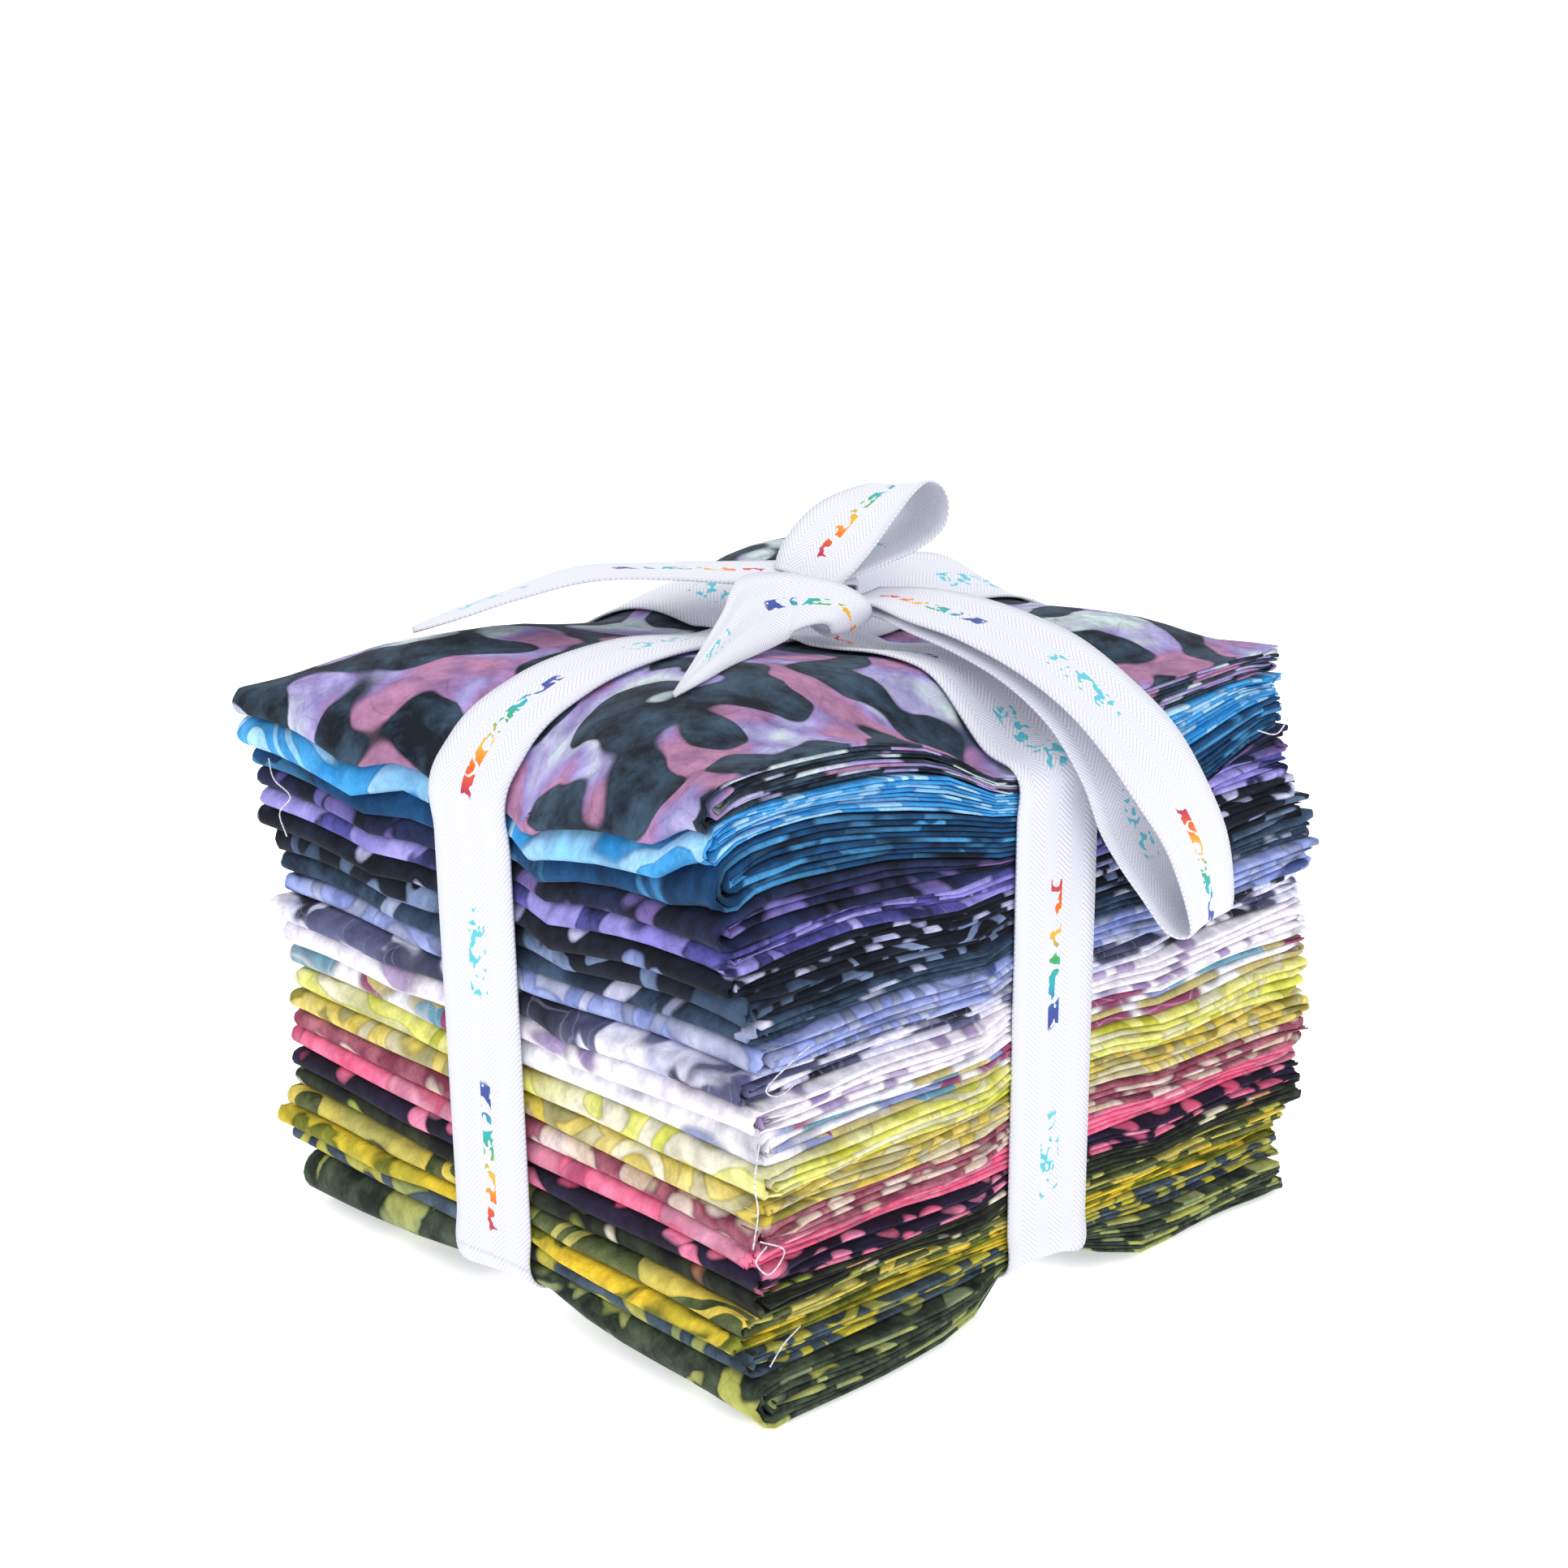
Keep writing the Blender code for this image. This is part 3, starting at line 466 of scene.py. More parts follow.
def levelHeight(level, x, y):
    # Height of the level above this fat quarter; the last level is the underside.
    freeX, freeY = freeOfBands(x, y, stack["pinchFade"])
    x, y = x - levelShift(level, "shiftX") * freeY, y - levelShift(level, "shiftY") * freeX
    power = np.where(x < 0, stack["leftPower"], stack["crownPower"])
    u = np.clip(np.abs(x) / (stack["width"] / 2), 0, 1) ** power
    v = np.clip(np.abs(y) / (stack["depth"] / 2), 0, 1) ** stack["crownPower"]
    base = cornerHeight(level, x, y)
    inside = (1 - u) * (1 - v)
    if level == bottom:
        overX, overY = underBands(x, y, stack["archFade"])
        low = stack["arch"] * np.maximum(overX, overY)
        start, width = stack["rimWidth"]["front"]
        low = between(low, softTable(stack["rimFront"], x), ease((-y - start) / width))
        start, width = stack["rimWidth"]["right"]
        return between(low, softTable(stack["rimRight"], y), ease((x - start) / width))
    sag, pull = sideSag(level, x, y, u, v)
    share = max(0.0, (stack["puffed"] - level) / stack["puffed"])
    coreShare = max(0.0, 1 - max(0, level - stack["puffed"]) / stack["coreDepth"])
    core = stack["coreRise"] * coreShare * inside
    valleyX, valleyY = underBands(x, y, stack["crownFade"])
    crown = lobeCrown(x, y) * inside - stack["valley"] * (valleyX * (1 - v) + valleyY * (1 - u))
    freeX, freeY = freeOfBands(x, y, stack["calm"]["levels"], stack["calm"]["start"])
    rise, wavelength = stack["rough"]
    rough = rise * smoothNoise(900 + level, x, y, wavelength) * freeX * freeY
    height = base + share * crown + (1 - share) * core - sag * pull + rough
    if level in stack["rightLevels"]:
        ride = stack["rideUp"]
        nearShare = np.clip((-y - stack["rimWidth"]["front"][0]) / ride["blend"], 0, 1)
        start = between(ride["start"], ride["startNear"], nearShare)
        edge = softTable(stack["rightLevels"][level], y) + rough
        height = between(height, edge, ease((x - start) / (ride["full"] - start)))
    return height


def foldedPath(straight, turn):
    # A path folded in half twice, as place, kind, leg and angle: out, round the
    # outer fold, back, round the loop, out again, round the inner fold and back.
    rows = []
    for start, leg, bend in ((1.0, 0, "outer"), (-1.0, 3, "loop"), (1.0, 2, "inner"), (-1.0, 1, "")):
        for n in range(straight + 1):
            rows.append((start - 2 * start * n / straight, "leg", leg, 0.0))
        if bend:
            for n in range(1, turn):
                rows.append((-start, bend, 0, math.pi * n / turn))
    return rows


# Ways to fold the strip across. Each leg has its ply from 0 on top to 3, the side
# it runs to, and whether it lies inside the fold. Then how far each fold stands
# out, and how far the folds on the right spread, so that they look full.
strips = {
    "backAndForth": {"legs": ((0, 1, 0), (1, -1, 0), (2, 1, 0), (3, -1, 0)),
                     "sizes": (0.9, 0.9, 0.9), "spread": 0.36, "from": 0.93},
    "halfTwice": {"legs": ((0, 1, 0), (3, -1, 0), (2, 1, 1), (1, -1, 1)),
                  "sizes": (1.9, 0.6, 0.6), "spread": 0.0, "from": 0.93},
}


def stripRows(strip, straight, turn):
    # The strip's section: place across, ply, how far it stands out, and inside.
    legs, sizes, spread = strip["legs"], strip["sizes"], strip["spread"]
    rows = []
    for leg, (ply, side, inside) in enumerate(legs):
        for n in range(straight + 1):
            place = side * (-1 + 2 * n / straight)
            apart = spread * min(1.0, max(0.0, (place - strip["from"]) / 0.07))
            rows.append((place, ply + apart * (1 if ply % 2 else -1), 0.0, inside))
        if leg < 3:
            after = legs[leg + 1][0]
            half = (after - ply) / 2
            half += math.copysign(spread, half) * (side > 0)
            for n in range(1, turn):
                angle = math.pi * n / turn
                rows.append((side, (ply + after) / 2 - half * math.cos(angle),
                             side * sizes[leg] * math.sin(angle),
                             max(inside, legs[leg + 1][2] * (side > 0))))
    return rows


def towardsEnds(values):
    # Packs the samples closer at both ends of a leg, where the cloth turns.
    packing = 0.92
    return np.sin(values * math.pi / 2 * packing) / math.sin(math.pi / 2 * packing)


# Each fat quarter's folds. Waves are given by height and wavelength in mm.
fold = {
    "steps": {"top": (34, 44), "other": (18, 22)},    # in a leg across and along; the top one shows
    "turnSteps": (6, 8),
    "gap": 0.1,            # half of the air between two fat quarters
    "legOut": 0.5,         # how far legs lie out of line on the right
    "backOut": 0.9,        # and at the back
    "insideBack": 0.35,    # inner folds stay behind on the right
    "edgeBack": {"backAndForth": 0.25, "halfTwice": 0.5},
    "rightWave": (0.7, 38),
    "leftWave": (0.5, 38),
    "frontWave": (0.5, 55),
    "backWave": (0.8, 45),
    "tuck": (0.3, 1.6),    # least and most that the inner fold stays behind in front
    "loopBack": 0.22,      # share of the thickness that the looped legs stay behind at the back
    "leftOutFrom": 5,      # first fat quarter that stands out on the left
    "shortFrom": -30,      # the shorter ones are short from this x on
    "splayWave": (0.16, 30),
    "cornerWave": (0.6, 13),
    "cornerOut": (0.7, 11),
    "wrinkle": (0.3, 17, 60),    # on top: height, wavelength and distance between wrinkled patches
}


def wave(key, seed, x, y):
    # The fold wave of that name, in mm.
    height, wavelength = fold[key]
    return height * smoothNoise(seed, x, y, wavelength)


def foldedQuarter(number, look):
    stepsAcross, stepsAlong = fold["steps"]["other" if number else "top"]
    turnAcross, turnAlong = fold["turnSteps"]
    way = "backAndForth" if number in stack["backAndForth"] else "halfTwice"
    acrossRows = stripRows(strips[way], stepsAcross, turnAcross)
    alongRows = foldedPath(stepsAlong, turnAlong)
    s = towardsEnds(np.array([row[0] for row in acrossRows]))[:, None]
    t = towardsEnds(np.array([row[0] for row in alongRows]))[None, :]
    rng = np.random.default_rng(40 + number)

    q = np.clip([row[1] for row in acrossRows], -0.3, 3.3)[:, None]
    bulge = np.array([row[2] for row in acrossRows])[:, None]
    inside = np.array([row[3] for row in acrossRows])[:, None]

    # Along: the leg, or the fold that joins two legs. share is how deep a ply lies
    # among the sixteen, and out is how far it stands out, in plies.
    shape = (len(acrossRows), len(alongRows))
    share = np.zeros(shape)
    out = np.zeros(shape)
    legOf = np.zeros((1, len(alongRows)))
    for n, (_, kind, leg, angle) in enumerate(alongRows):
        column = q[:, 0]
        if kind == "leg":
            share[:, n] = {0: 0.5 + column, 3: 15.5 - column, 2: 8.5 + column, 1: 7.5 - column}[leg]
            legOf[0, n] = leg
        elif kind == "outer":
            share[:, n] = 8 - (7.5 - column) * math.cos(angle)
            out[:, n] = -(7.5 - column) * math.sin(angle)
            legOf[0, n] = 3.0 * angle / math.pi
        elif kind == "loop":
            share[:, n] = 12 + (3.5 - column) * math.cos(angle)
            out[:, n] = (3.5 - column) * math.sin(angle)
            legOf[0, n] = 3.0 - angle / math.pi
        else:
            share[:, n] = 8 + (column + 0.5) * math.cos(angle)
            out[:, n] = -(column + 0.5) * math.sin(angle)
            legOf[0, n] = 2.0 - angle / math.pi
    share /= 16
    out /= 16

    # Plan: edges out of line, wandering a little, and pulled in by the bands.
    halfX, halfY = stack["width"] / 2, stack["depth"] / 2
    yRough = t * halfY
    xRough = s * halfX
    freeX, freeY = freeOfBands(xRough, yRough, stack["pinchFade"])
    pinchedX, pinchedY = (1 - freeX) * stack["pinch"], (1 - freeY) * stack["pinch"]
    seed = number * 7

    def outOfLine(most):
        return np.interp(legOf, [0, 1, 2, 3], rng.uniform(-most, most, 4))

    rightOut = look["shiftX"] + outOfLine(fold["legOut"]) + wave("rightWave", seed + 1, yRough, legOf * 9)
    rightEdge = halfX + freeY * rightOut - pinchedY \
        - fold["edgeBack"][way] - fold["insideBack"] * inside
    leftOut = stack["leftOut"] if fold["leftOutFrom"] <= number < bottom - 1 else 0.0
    leftOut = -leftOut + look["shiftX"] + wave("leftWave", seed + 2, yRough, legOf * 4)
    leftEdge = -halfX + freeY * leftOut + pinchedY
    mid, half = (rightEdge + leftEdge) / 2, (rightEdge - leftEdge) / 2
    x = mid + s * half
    frontOut = look["shiftY"] + wave("frontWave", seed + 3, xRough, 0 * t)
    frontEdge = -halfY + freeX * frontOut + pinchedX
    backOut = look["shiftY"] + wave("backWave", seed + 4, xRough, 0 * t) \
        + outOfLine(fold["backOut"])
    short = stack["endTrim"].get(number, 0.0) * (xRough > fold["shortFrom"])
    backEdge = halfY + freeX * backOut - pinchedX - short

    gap = fold["gap"]
    frontThick = levelHeight(number, x, frontEdge) - levelHeight(number + 1, x, frontEdge) - 2 * gap
    innerLegs = np.array([[kind == "inner" or (kind == "leg" and leg in (1, 2))
                           for _, kind, leg, _ in alongRows]])
    tucked = innerLegs * rng.uniform(*fold["tuck"])
    front = frontEdge + 0.5 * frontThick + tucked
    back = backEdge - fold["loopBack"] * frontThick * (legOf > 1.99)
    y = (back + front) / 2 + t * (back - front) / 2
    thick = levelHeight(number, x, y) - levelHeight(number + 1, x, y) - 2 * gap
    x = x + bulge * thick / 16
    y = y + out * thick
    top = levelHeight(number, x, y) - gap
    thick = top - levelHeight(number + 1, x, y) - gap
    z = top - share * thick

    # The folded edges of the strip splay a little where they show.
    edge = np.clip((np.abs(s) - 0.8) / 0.2, 0, 1) ** 2 * freeY
    z = z + edge * wave("splayWave", seed + 5, yRough, legOf * 14)
    curl = edge * np.clip((np.abs(t) - 0.72) / 0.28, 0, 1) ** 2 * np.where(s > 0, 1.0, 0.2)
    z = z + curl * wave("cornerWave", seed + 6, yRough, legOf * 20 + q * 3)
    x = x + curl * wave("cornerOut", seed + 8, yRough, legOf * 20)
    if number == 0:
        height, wavelength, patches = fold["wrinkle"]
        wrinkle = height * smoothNoise(71, x, y, wavelength) * smoothNoise(72, x, y, patches)
        freeX, freeY = freeOfBands(x, y, stack["calm"]["wrinkles"], stack["calm"]["start"])
        z = z + wrinkle * freeX * freeY * np.where(legOf < 0.5, 1, 0.4)
    z = np.maximum(z, 0.05)

    # Flat coordinates, so that the print runs on round every fold.
    stepsX = np.hypot(np.diff(x, axis=0), np.diff(z, axis=0)).mean(axis=1)
    stepsY = np.hypot(np.diff(y, axis=1), np.diff(z, axis=1)).mean(axis=0)
    flatX = np.concatenate(([0.0], np.cumsum(stepsX)))
    flatY = np.concatenate(([0.0], np.cumsum(stepsY)))
    flatX *= stack["cutWidth"] / flatX[-1]
    flatY *= stack["cutLength"] / flatY[-1]

    name = f"fatQuarter{number + 1:02d}"
    piece = gridMesh(name, x, y, z, flatX, flatY)
    piece.data.materials.append(batikCotton(f"batikCotton{number + 1:02d}", look, number + 1))
    node = f"fat_quarter_{number + 1:02d}"
    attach(piece, "root")
    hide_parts(node)


def addMesh(name, points, faces):
    mesh = bpy.data.meshes.new(name)
    mesh.from_pydata(points, [], faces)
    mesh.polygons.foreach_set("use_smooth", np.ones(len(faces), dtype=bool))
    mesh.update()
    piece = bpy.data.objects.new(name, mesh)
    addToScene(piece)
    return piece


def gridMesh(name, x, y, z, flatX, flatY):
    # A sheet from a grid of places in mm, with its flat coordinates in metres.
    x, y, z = np.broadcast_arrays(x, y, z)
    rows, columns = x.shape
    points = np.stack(toFrame(x, y, z), axis=-1).reshape(-1, 3)
    faces = []
    for a in range(rows - 1):
        start = a * columns
        for b in range(columns - 1):
            faces.append((start + b, start + b + 1, start + columns + b + 1, start + columns + b))
    piece = addMesh(name, points.tolist(), faces)
    layer = piece.data.uv_layers.new(name="flat")
    corners = np.array(faces).reshape(-1)
    flat = np.stack([flatX[corners // columns], flatY[corners % columns]], axis=-1) / 1000
    layer.data.foreach_set("uv", flat.astype(np.float32).reshape(-1))
    return piece


# Matt white paper, lit a little from behind as in a white cove, so that the
# bundle stands on plain white with hardly a shadow. Fibres give it a faint grain.
floorSettings = {"size": 60.0, "colours": "f7f7f9 fefeff", "grain": 40.0, "lit": 0.5}
bpy.ops.mesh.primitive_plane_add(size=floorSettings["size"], location=(0.0, 0.0, 0.0))
floor = bpy.context.object
floor.name = "floor"
paper, paperTree, paperShader = newMaterial("studioPaper", 0.9, 0.0)
fibres = addNode(paperTree, "TexNoise", {"Scale": floorSettings["grain"], "Detail": 6.0},
                 {"Vector": addNode(paperTree, "TexCoord").outputs["Object"]})
paperStops = list(zip((0.35, 0.65), map(linearColour, floorSettings["colours"].split())))
paperTone = addNode(paperTree, "ValToRGB", {"stops": paperStops}, {"Fac": fibres}).outputs[0]
for key in ("Base Color", "Emission Color"):
    paperTree.links.new(paperTone, paperShader.inputs[key])
paperShader.inputs["Emission Strength"].default_value = floorSettings["lit"]
floor.data.materials.append(paper)

for number, look in enumerate(quarters):
    foldedQuarter(number, look)
print("fat quarters folded:", bottom)


def smoothRows(rows, steps):
    # A smooth curve through the rows, each row a line of points across the ribbon.
    rows = [np.array(row, dtype=float) for row in rows]
    full = [2 * rows[0] - rows[1]] + rows + [2 * rows[-1] - rows[-2]]
    result = []
    for a, b, c, d in zip(full, full[1:], full[2:], full[3:]):
        for n in range(steps):
            k = n / steps
            result.append(0.5 * (2 * b + (c - a) * k + (2 * a - 5 * b + 4 * c - d) * k ** 2
                                 + (3 * b - a - 3 * c + d) * k ** 3))
    result.append(rows[-1])
    return result


def makeTape(piece, node, offset):
    # Gives the sheet its thickness and material, sets it under the root body and hides the solid it
    # stands for.
    piece.data.materials.append(tape)
    solid = piece.modifiers.new("tape", "SOLIDIFY")
    solid.thickness = ribbon["thick"] / 1000
    solid.offset = offset
    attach(piece, "root")
    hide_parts(node)


def ribbonPiece(name, node, rows, held):
    # rows: lines across the ribbon, from one selvedge to the other. The loops
    # rest on the knot and the rest of it on the top fat quarter.
    grid = np.array(rows)
    x, y, z = grid[:, :, 0].T, grid[:, :, 1].T, grid[:, :, 2].T
    steps = np.linalg.norm(np.diff(grid.mean(axis=1), axis=0), axis=1)
    length = np.concatenate(([0.0], np.cumsum(steps)))
    across = np.linspace(0.0, ribbon["width"], grid.shape[1])
    piece = gridMesh(name, x, y, z, across, length)
    makeTape(piece, node, 0.0)


band = {
    "steps": {"cloth": 90, "side": 60, "round": 420, "across": 9},
    "smoothing": 12,       # passes that round its outline off
    "edgeFade": (0.5, 8.0),      # where the extra room at the stack's edges starts and ends
    "crossFade": (10.5, 15.0),   # the same for the crossing of the bands
    "crossLevel": (50, 40),      # the bands cross only this far above or below the height 50
    "leanHeight": (55, 35),      # height at which the front band is straight, and to the full lean
}


def bandLine(across, along, offset):
    # One line round the stack, as a closed outline of the cloth set off by a
    # gap: up the front, over the top, down the back and under.
    half = (stack["depth"] if along == "y" else stack["width"]) / 2 - stack["pinch"]

    def over(level, places):
        places = np.asarray(places, dtype=float)
        x, y = (across + 0 * places, places) if along == "y" else (places, across + 0 * places)
        return levelHeight(level, x, y)

    steps = band["steps"]
    places = towardsEnds(np.linspace(-1, 1, steps["cloth"])) * half
    top = over(0, places)
    low = over(bottom, places)
    if along == "y":
        # The spine of the top fat quarter is round, and so is the bottom one's.
        for line, level, side in ((top, 0, 1), (low, bottom - 1, -1)):
            thick = float(over(level, [-half])[0] - over(level + 1, [-half])[0])
            into = np.clip((places + half) / (thick / 2), 0, 1)
            line -= side * thick / 2 * (1 - np.sqrt(1 - (1 - into) ** 2))
    outline = [(-half, z) for z in np.linspace(low[0], top[0], steps["side"])[1:-1]]
    outline += list(zip(places, top))
    outline += [(half, z) for z in np.linspace(top[-1], low[-1], steps["side"])[1:-1]]
    outline += list(zip(places[::-1], low[::-1]))
    outline = resample(np.array(outline), steps["round"])
    for _ in range(band["smoothing"]):
        outline = (np.roll(outline, 1, axis=0) + 2 * outline + np.roll(outline, -1, axis=0)) / 4
    # Round an edge of the stack the band keeps a little more off the cloth.
    clear = offset(outline)
    for corner in ((-half, low[0]), (-half, top[0]), (half, top[-1]), (half, low[-1])):
        distance = np.linalg.norm(outline - corner, axis=1)
        clear = clear + ribbon["cornerClear"] * fade(distance, *band["edgeFade"])
    travel = np.roll(outline, -1, axis=0) - np.roll(outline, 1, axis=0)
    outward = np.stack([-travel[:, 1], travel[:, 0]], axis=1)
    outward /= np.linalg.norm(outward, axis=1)[:, None]
    return outline + outward * clear[:, None]


def resample(points, count):
    closed = np.vstack([points, points[:1]])
    travelled = np.concatenate(([0.0], np.cumsum(np.linalg.norm(np.diff(closed, axis=0), axis=1))))
    wanted = np.linspace(0, travelled[-1], count, endpoint=False)
    return np.stack([np.interp(wanted, travelled, closed[:, axis]) for axis in (0, 1)], axis=1)


def bandRows(centre, along):
    half = ribbon["width"] / 2

    def offset(outline):
        # The band from side to side crosses outside the other one.
        clear = np.full(len(outline), ribbon["bandClear"])
        if along == "x":
            middle, away = band["crossLevel"]
            level = np.abs(outline[:, 1] - middle) > away
            crossing = fade(outline[:, 0] - ribbon["bandX"], *band["crossFade"])
            clear += ribbon["crossClear"] * crossing * level
        return clear

    offsets = np.linspace(-half, half, band["steps"]["across"])
    straight, full = band["leanHeight"]
    lines = [bandLine(centre + across, along, offset) for across in offsets]
    rows = []
    for n in list(range(len(lines[0]))) + [0]:
        row = []
        for line, across in zip(lines, offsets):
            place, z = line[n]
            lean = ribbon["lean"] * (straight - z) / full * float(ease((-place - 50) / 12))
            side = centre + across
            row.append((side + lean, place, z) if along == "y" else (place, side, z))
        rows.append(row)
    return rows


# The bow's stretches as rows across the ribbon: x, y and z of one selvedge, then
# of the other.
frontLoop = (
    (7.4, 13.0, 110.2, 7.4, 3.0, 109.8),
    (16.0, 16.0, 111.0, 16.0, 2.6, 110.4),
    (27.0, 16.2, 111.4, 28.0, -1.8, 110.8),
    (38.2, 16.2, 110.6, 40.0, -2.8, 110.2),
    (50.2, 16.0, 108.4, 52.6, -2.8, 107.4),
    (60.0, 17.9, 102.6, 61.2, -1.1, 102.8),
    (67.0, 19.6, 96.6, 67.6, 0.6, 97.0),
    (71.0, 23.0, 87.6, 72.0, 4.1, 88.9),
    (70.2, 29.9, 76.8, 73.4, 11.3, 78.4),
    (68.2, 34.7, 64.6, 74.0, 16.6, 65.6),
    (66.6, 34.2, 62.0, 72.4, 16.1, 63.4),
    (64.6, 32.6, 63.6, 70.2, 14.4, 64.8),
    (63.2, 30.9, 68.0, 67.4, 12.4, 69.6),
    (61.8, 28.0, 73.6, 65.2, 9.4, 75.0),
    (61.6, 25.0, 80.4, 63.2, 6.2, 81.6),
    (61.6, 21.4, 89.4, 62.4, 2.6, 90.2),
    (57.4, 18.6, 98.0, 58.0, -0.4, 98.8),
    (49.6, 16.2, 104.2, 50.4, -2.4, 104.6),
    (39.6, 16.0, 107.8, 40.0, -2.6, 107.6),
    (28.0, 16.0, 109.0, 28.4, -1.6, 108.9),
    (16.0, 15.0, 108.9, 16.0, 2.8, 108.6),
    (7.4, 12.6, 108.4, 7.4, 3.2, 108.0),
)
backLoop = (
    (-8.0, 3.0, 112.6, 8.4, 2.4, 112.4),
    (-8.8, 5.6, 116.0, 9.3, 5.2, 114.9),
    (-9.2, 10.4, 119.8, 9.5, 9.6, 118.3),
    (-9.2, 16.0, 122.3, 9.5, 14.4, 122.5),
    (-9.0, 22.4, 123.4, 9.5, 18.8, 126.0),
    (-8.8, 28.0, 123.6, 9.4, 22.6, 127.5),
    (-8.6, 31.6, 122.2, 9.4, 26.0, 125.9),
    (-8.6, 32.6, 119.6, 9.4, 27.6, 122.4),
    (-8.6, 30.4, 116.6, 9.4, 26.0, 118.6),
    (-8.6, 24.4, 114.2, 9.4, 19.6, 116.0),
    (-8.2, 17.6, 113.0, 8.8, 12.6, 114.6),
    (-6.8, 11.4, 112.2, 7.6, 7.6, 113.4),
    (-5.0, 7.8, 111.6, 6.0, 5.6, 112.4),
)
leftTail = (
    (-6.7, 9.4, 113.0, -6.7, 1.0, 110.3),
    (-15.6, 4.6, 112.2, -6.0, -5.8, 111.6),
    (-27.8, -7.0, 111.7, -12.1, -17.0, 113.2),
    (-36.0, -17.4, 111.3, -20.0, -27.2, 113.3),
    (-42.0, -28.2, 107.9, -26.6, -37.8, 110.8),
    (-43.6, -38.6, 106.0, -32.6, -45.0, 107.8),
    (-41.2, -49.0, 105.0, -40.2, -49.6, 104.6),
)
frontTail = (
    (7.2, 1.6, 107.8, 7.4, -4.6, 107.5),
    (12.6, 1.4, 107.6, 14.0, -7.6, 107.2),
    (17.0, 0.8, 108.6, 17.6, -8.6, 107.6),
    (17.6, 0.0, 111.6, 17.4, -9.4, 109.4),
    (13.0, -0.6, 113.6, 16.2, -11.6, 109.6),
    (7.0, -0.9, 114.0, 14.0, -13.6, 108.4),
    (-0.6, -2.6, 113.9, 14.2, -15.0, 107.4),
    (-2.6, -10.1, 113.8, 17.2, -23.4, 107.4),
    (5.1, -21.0, 111.2, 21.2, -33.8, 107.8),
    (14.8, -34.8, 109.0, 25.2, -43.2, 107.9),
    (26.8, -51.2, 107.5, 28.0, -51.8, 107.5),
)


bow = {"steps": 8, "across": 9, "cup": 0.4}


def bowRows(table):
    # More rows between the table's, with a slight cup between the selvedges.
    steps, cup = bow["steps"], bow["cup"]
    rows = smoothRows([(row[0:3], row[3:6]) for row in table], steps)
    result = []
    for n, (far, near) in enumerate(rows):
        before, after = rows[max(0, n - 1)], rows[min(len(rows) - 1, n + 1)]
        travel = (after - before).mean(axis=0)
        normal = np.cross(travel, near - far)
        normal = normal / (np.linalg.norm(normal) + 1e-9)
        line = []
        for k in np.linspace(0, 1, bow["across"]):
            line.append(between(far, near, k) + normal * cup * math.sin(math.pi * k))
        result.append(line)
    return result


tape = herringboneTape("herringboneTape")
for entry in (
    ("bandFrontBack", "ribbon_band_front_back", bandRows(ribbon["bandX"], "y"), "stretched"),
    ("bandSideSide", "ribbon_band_side_side", bandRows(ribbon["bandY"], "x"), "stretched"),
    ("bowLoopFront", "bow_loop_front", bowRows(frontLoop), "folded"),
    ("bowLoopBack", "bow_loop_back", bowRows(backLoop), "folded"),
    ("bowTailLeft", "bow_tail_left", bowRows(leftTail), "laid"),
    ("bowTailFront", "bow_tail_front", bowRows(frontTail), "laid"),
):
    ribbonPiece(*entry)


knot = {
    "size": (12.4, 8.6, 5.6),
    "centre": (0.0, 6.6, 110.2),
    "steps": (28, 64),     # across and round
    "crease": (0.05, 0.03),    # share of the radius: wide creases and fine ones
    "flatness": 0.75,      # below 1 the wrap is boxy
    "narrowing": (0.45, 3.5),    # how much smaller it gets at both ends, and how late
    "twist": 0.4,
    "flatLength": 32.0,
}


def knotPiece():
    # The ribbon's last wrap round the knot: a bunched band with soft creases.
    widths, turns = knot["steps"]
    wide, fine = knot["crease"]
    (sizeX, sizeY, sizeZ), (x, y, z) = knot["size"], knot["centre"]
    angle = np.linspace(0, 2 * math.pi, turns)[None, :]
    w = np.linspace(-1, 1, widths)[:, None]
    narrower, late = knot["narrowing"]
    swell = 1 - np.abs(w) ** late * narrower
    crease = wide * np.sin(w * 9.0 + 0.8 * np.sin(angle)) + fine * np.sin(w * 17 + angle)
    radius = swell * (1 + crease)
    ahead, aside = (np.sign(part) * np.abs(part) ** knot["flatness"]
                    for part in (np.cos(angle), np.sin(angle)))
    y = y + sizeY / 2 * radius * ahead
    z = z + sizeZ / 2 * radius * aside
    x = x + w * sizeX / 2 + knot["twist"] * np.sin(angle * 2)
    piece = gridMesh("ribbonKnot", x, y, z, np.linspace(0, ribbon["width"], widths),
                     np.linspace(0, knot["flatLength"], turns))
    makeTape(piece, "ribbon_knot", -1.0)


knotPiece()
print("ribbon tied")

# Loose threads at the cut edges, with the places each one runs through.
threadSettings = {"radius": 0.13, "colour": "e9e6f0", "dipShade": "b9b4c6", "runs": (
    ((-55.0, -69.6, 83.6), (-52.9, -70.2, 80.6), (-48.6, -70.0, 78.4),
     (-51.4, -70.4, 75.0), (-50.2, -70.0, 71.0)),
    ((59.4, -54.0, 60.6), (61.0, -58.6, 60.4), (61.4, -64.6, 57.6),
     (61.2, -62.0, 55.6), (61.6, -58.6, 57.0)),
    ((60.6, -65.2, 49.4), (61.8, -67.4, 43.6), (61.0, -66.0, 38.2), (61.6, -67.6, 33.0)),
    ((61.0, -65.6, 33.4), (62.0, -61.6, 31.0), (61.8, -64.4, 28.0),
     (61.4, -66.8, 30.6), (61.6, -64.8, 32.6)),
    ((60.6, -57.0, 16.4), (62.0, -61.8, 15.6), (61.6, -64.2, 12.6)),
    ((60.0, 50.0, 88.6), (61.4, 53.4, 87.6), (61.0, 57.0, 89.4)),
)}


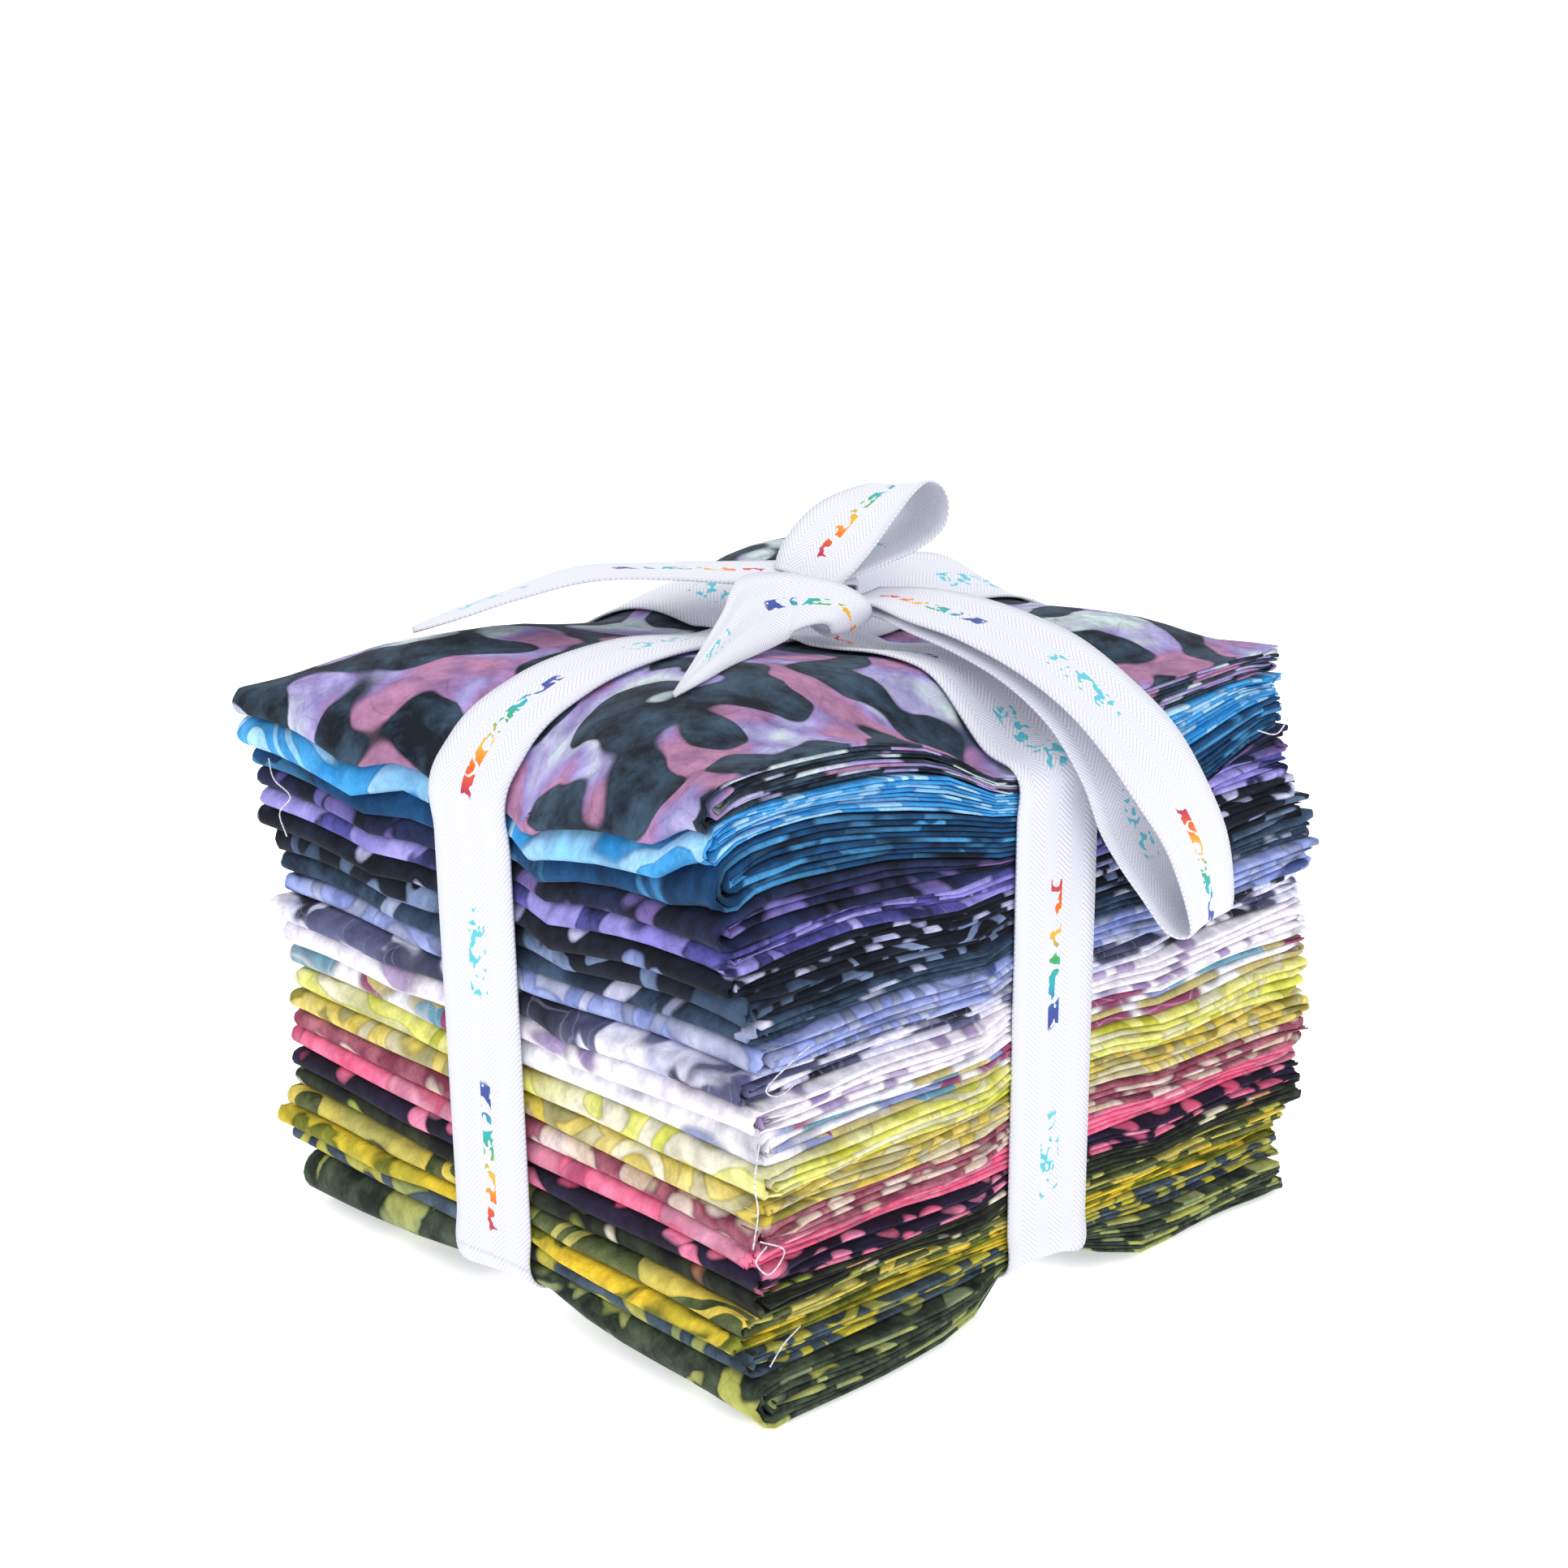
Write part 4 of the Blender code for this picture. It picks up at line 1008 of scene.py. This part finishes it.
def looseThreads():
    vertices, faces = [], []
    for run in threadSettings["runs"]:
        line = smoothRows([(place,) for place in run], 8)
        for n, (place,) in enumerate(line):
            ahead = (line[min(n + 1, len(line) - 1)] - line[max(n - 1, 0)])[0]
            side = np.cross(ahead, (0.3, 0.5, 0.8))
            side = side / np.linalg.norm(side)
            rise = np.cross(ahead, side) / np.linalg.norm(ahead)
            first = len(vertices)
            for corner in range(4):
                turn = corner * math.pi / 2
                vertices.append(toFrame(*(place + threadSettings["radius"]
                                          * (math.cos(turn) * side + math.sin(turn) * rise))))
                if n:
                    after = (corner + 1) % 4
                    faces.append((first - 4 + corner, first - 4 + after, first + after, first + corner))
    piece = addMesh("looseThreads", vertices, faces)
    # Spun cotton: pale, with painted shade in the hollows between its strands.
    material, tree, shader = newMaterial("spunCottonThread", 0.8, 0.1)
    strands = addNode(tree, "TexNoise", {"Scale": 1800.0, "Detail": 1.0},
                      {"Vector": addNode(tree, "TexCoord").outputs["Object"]})
    dipShade, pale = (linearColour(threadSettings[key]) for key in ("dipShade", "colour"))
    colour = addNode(tree, "ValToRGB", {"stops": [(0.35, dipShade), (0.6, pale)]}, {"Fac": strands})
    tree.links.new(colour.outputs[0], shader.inputs["Base Color"])
    piece.data.materials.append(material)
    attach(piece, "root")


looseThreads()
print("threads added")

# The camera as fitted to the photo; distances in mm, from the stack's middle.
view = {"azimuth": 46.252, "elevation": 17.102, "distance": 519.69, "lens": 69.587,
        "right": -1.681, "height": 76.524}
azimuth, elevation = math.radians(view["azimuth"]), math.radians(view["elevation"])
right = Vector((math.cos(azimuth), math.sin(azimuth), 0.0))
back = Vector((math.sin(azimuth) * math.cos(elevation), -math.cos(azimuth) * math.cos(elevation),
               math.sin(elevation)))
up = back.cross(right)
target = right * view["right"] + Vector((0.0, 0.0, view["height"]))
cameraData = bpy.data.cameras.new("camera")
cameraData.lens = view["lens"]
cameraData.sensor_width = 36.0
cameraData.clip_start = 0.01
camera = bpy.data.objects.new("camera", cameraData)
turned = Matrix((right, up, back)).transposed().to_4x4()
camera.matrix_world = Matrix.Translation(toFrame(*(target + back * view["distance"]))) @ turned
addToScene(camera)
bpy.context.scene.camera = camera

# Three soft boxes in a white room: the left one is the strongest. Places in metres.
lights = (
    {"name": "softBoxLeft", "from": (-0.75, -0.85, 1.0), "size": 1.0, "watts": 4.2},
    {"name": "softBoxRight", "from": (1.0, -0.35, 0.75), "size": 0.9, "watts": 3.4},
    {"name": "softBoxTop", "from": (0.1, 0.25, 1.3), "size": 1.2, "watts": 1.6},
)
for light in lights:
    data = bpy.data.lights.new(light["name"], "AREA")
    data.size = light["size"]
    data.energy = light["watts"]
    lamp = bpy.data.objects.new(light["name"], data)
    lamp.location = light["from"]
    lamp.rotation_mode = "QUATERNION"
    lamp.rotation_quaternion = (Vector(light["from"]) - Vector((0, 0, 0.05))).to_track_quat("Z", "Y")
    addToScene(lamp)

roomStrength = 0.93
world = bpy.data.worlds.new("studioWhite")
world.use_nodes = True
room = world.node_tree.nodes["Background"]
room.inputs["Color"].default_value = white
room.inputs["Strength"].default_value = roomStrength
bpy.context.scene.world = world
bpy.context.scene.view_settings.view_transform = "Standard"
print("camera and lights set")
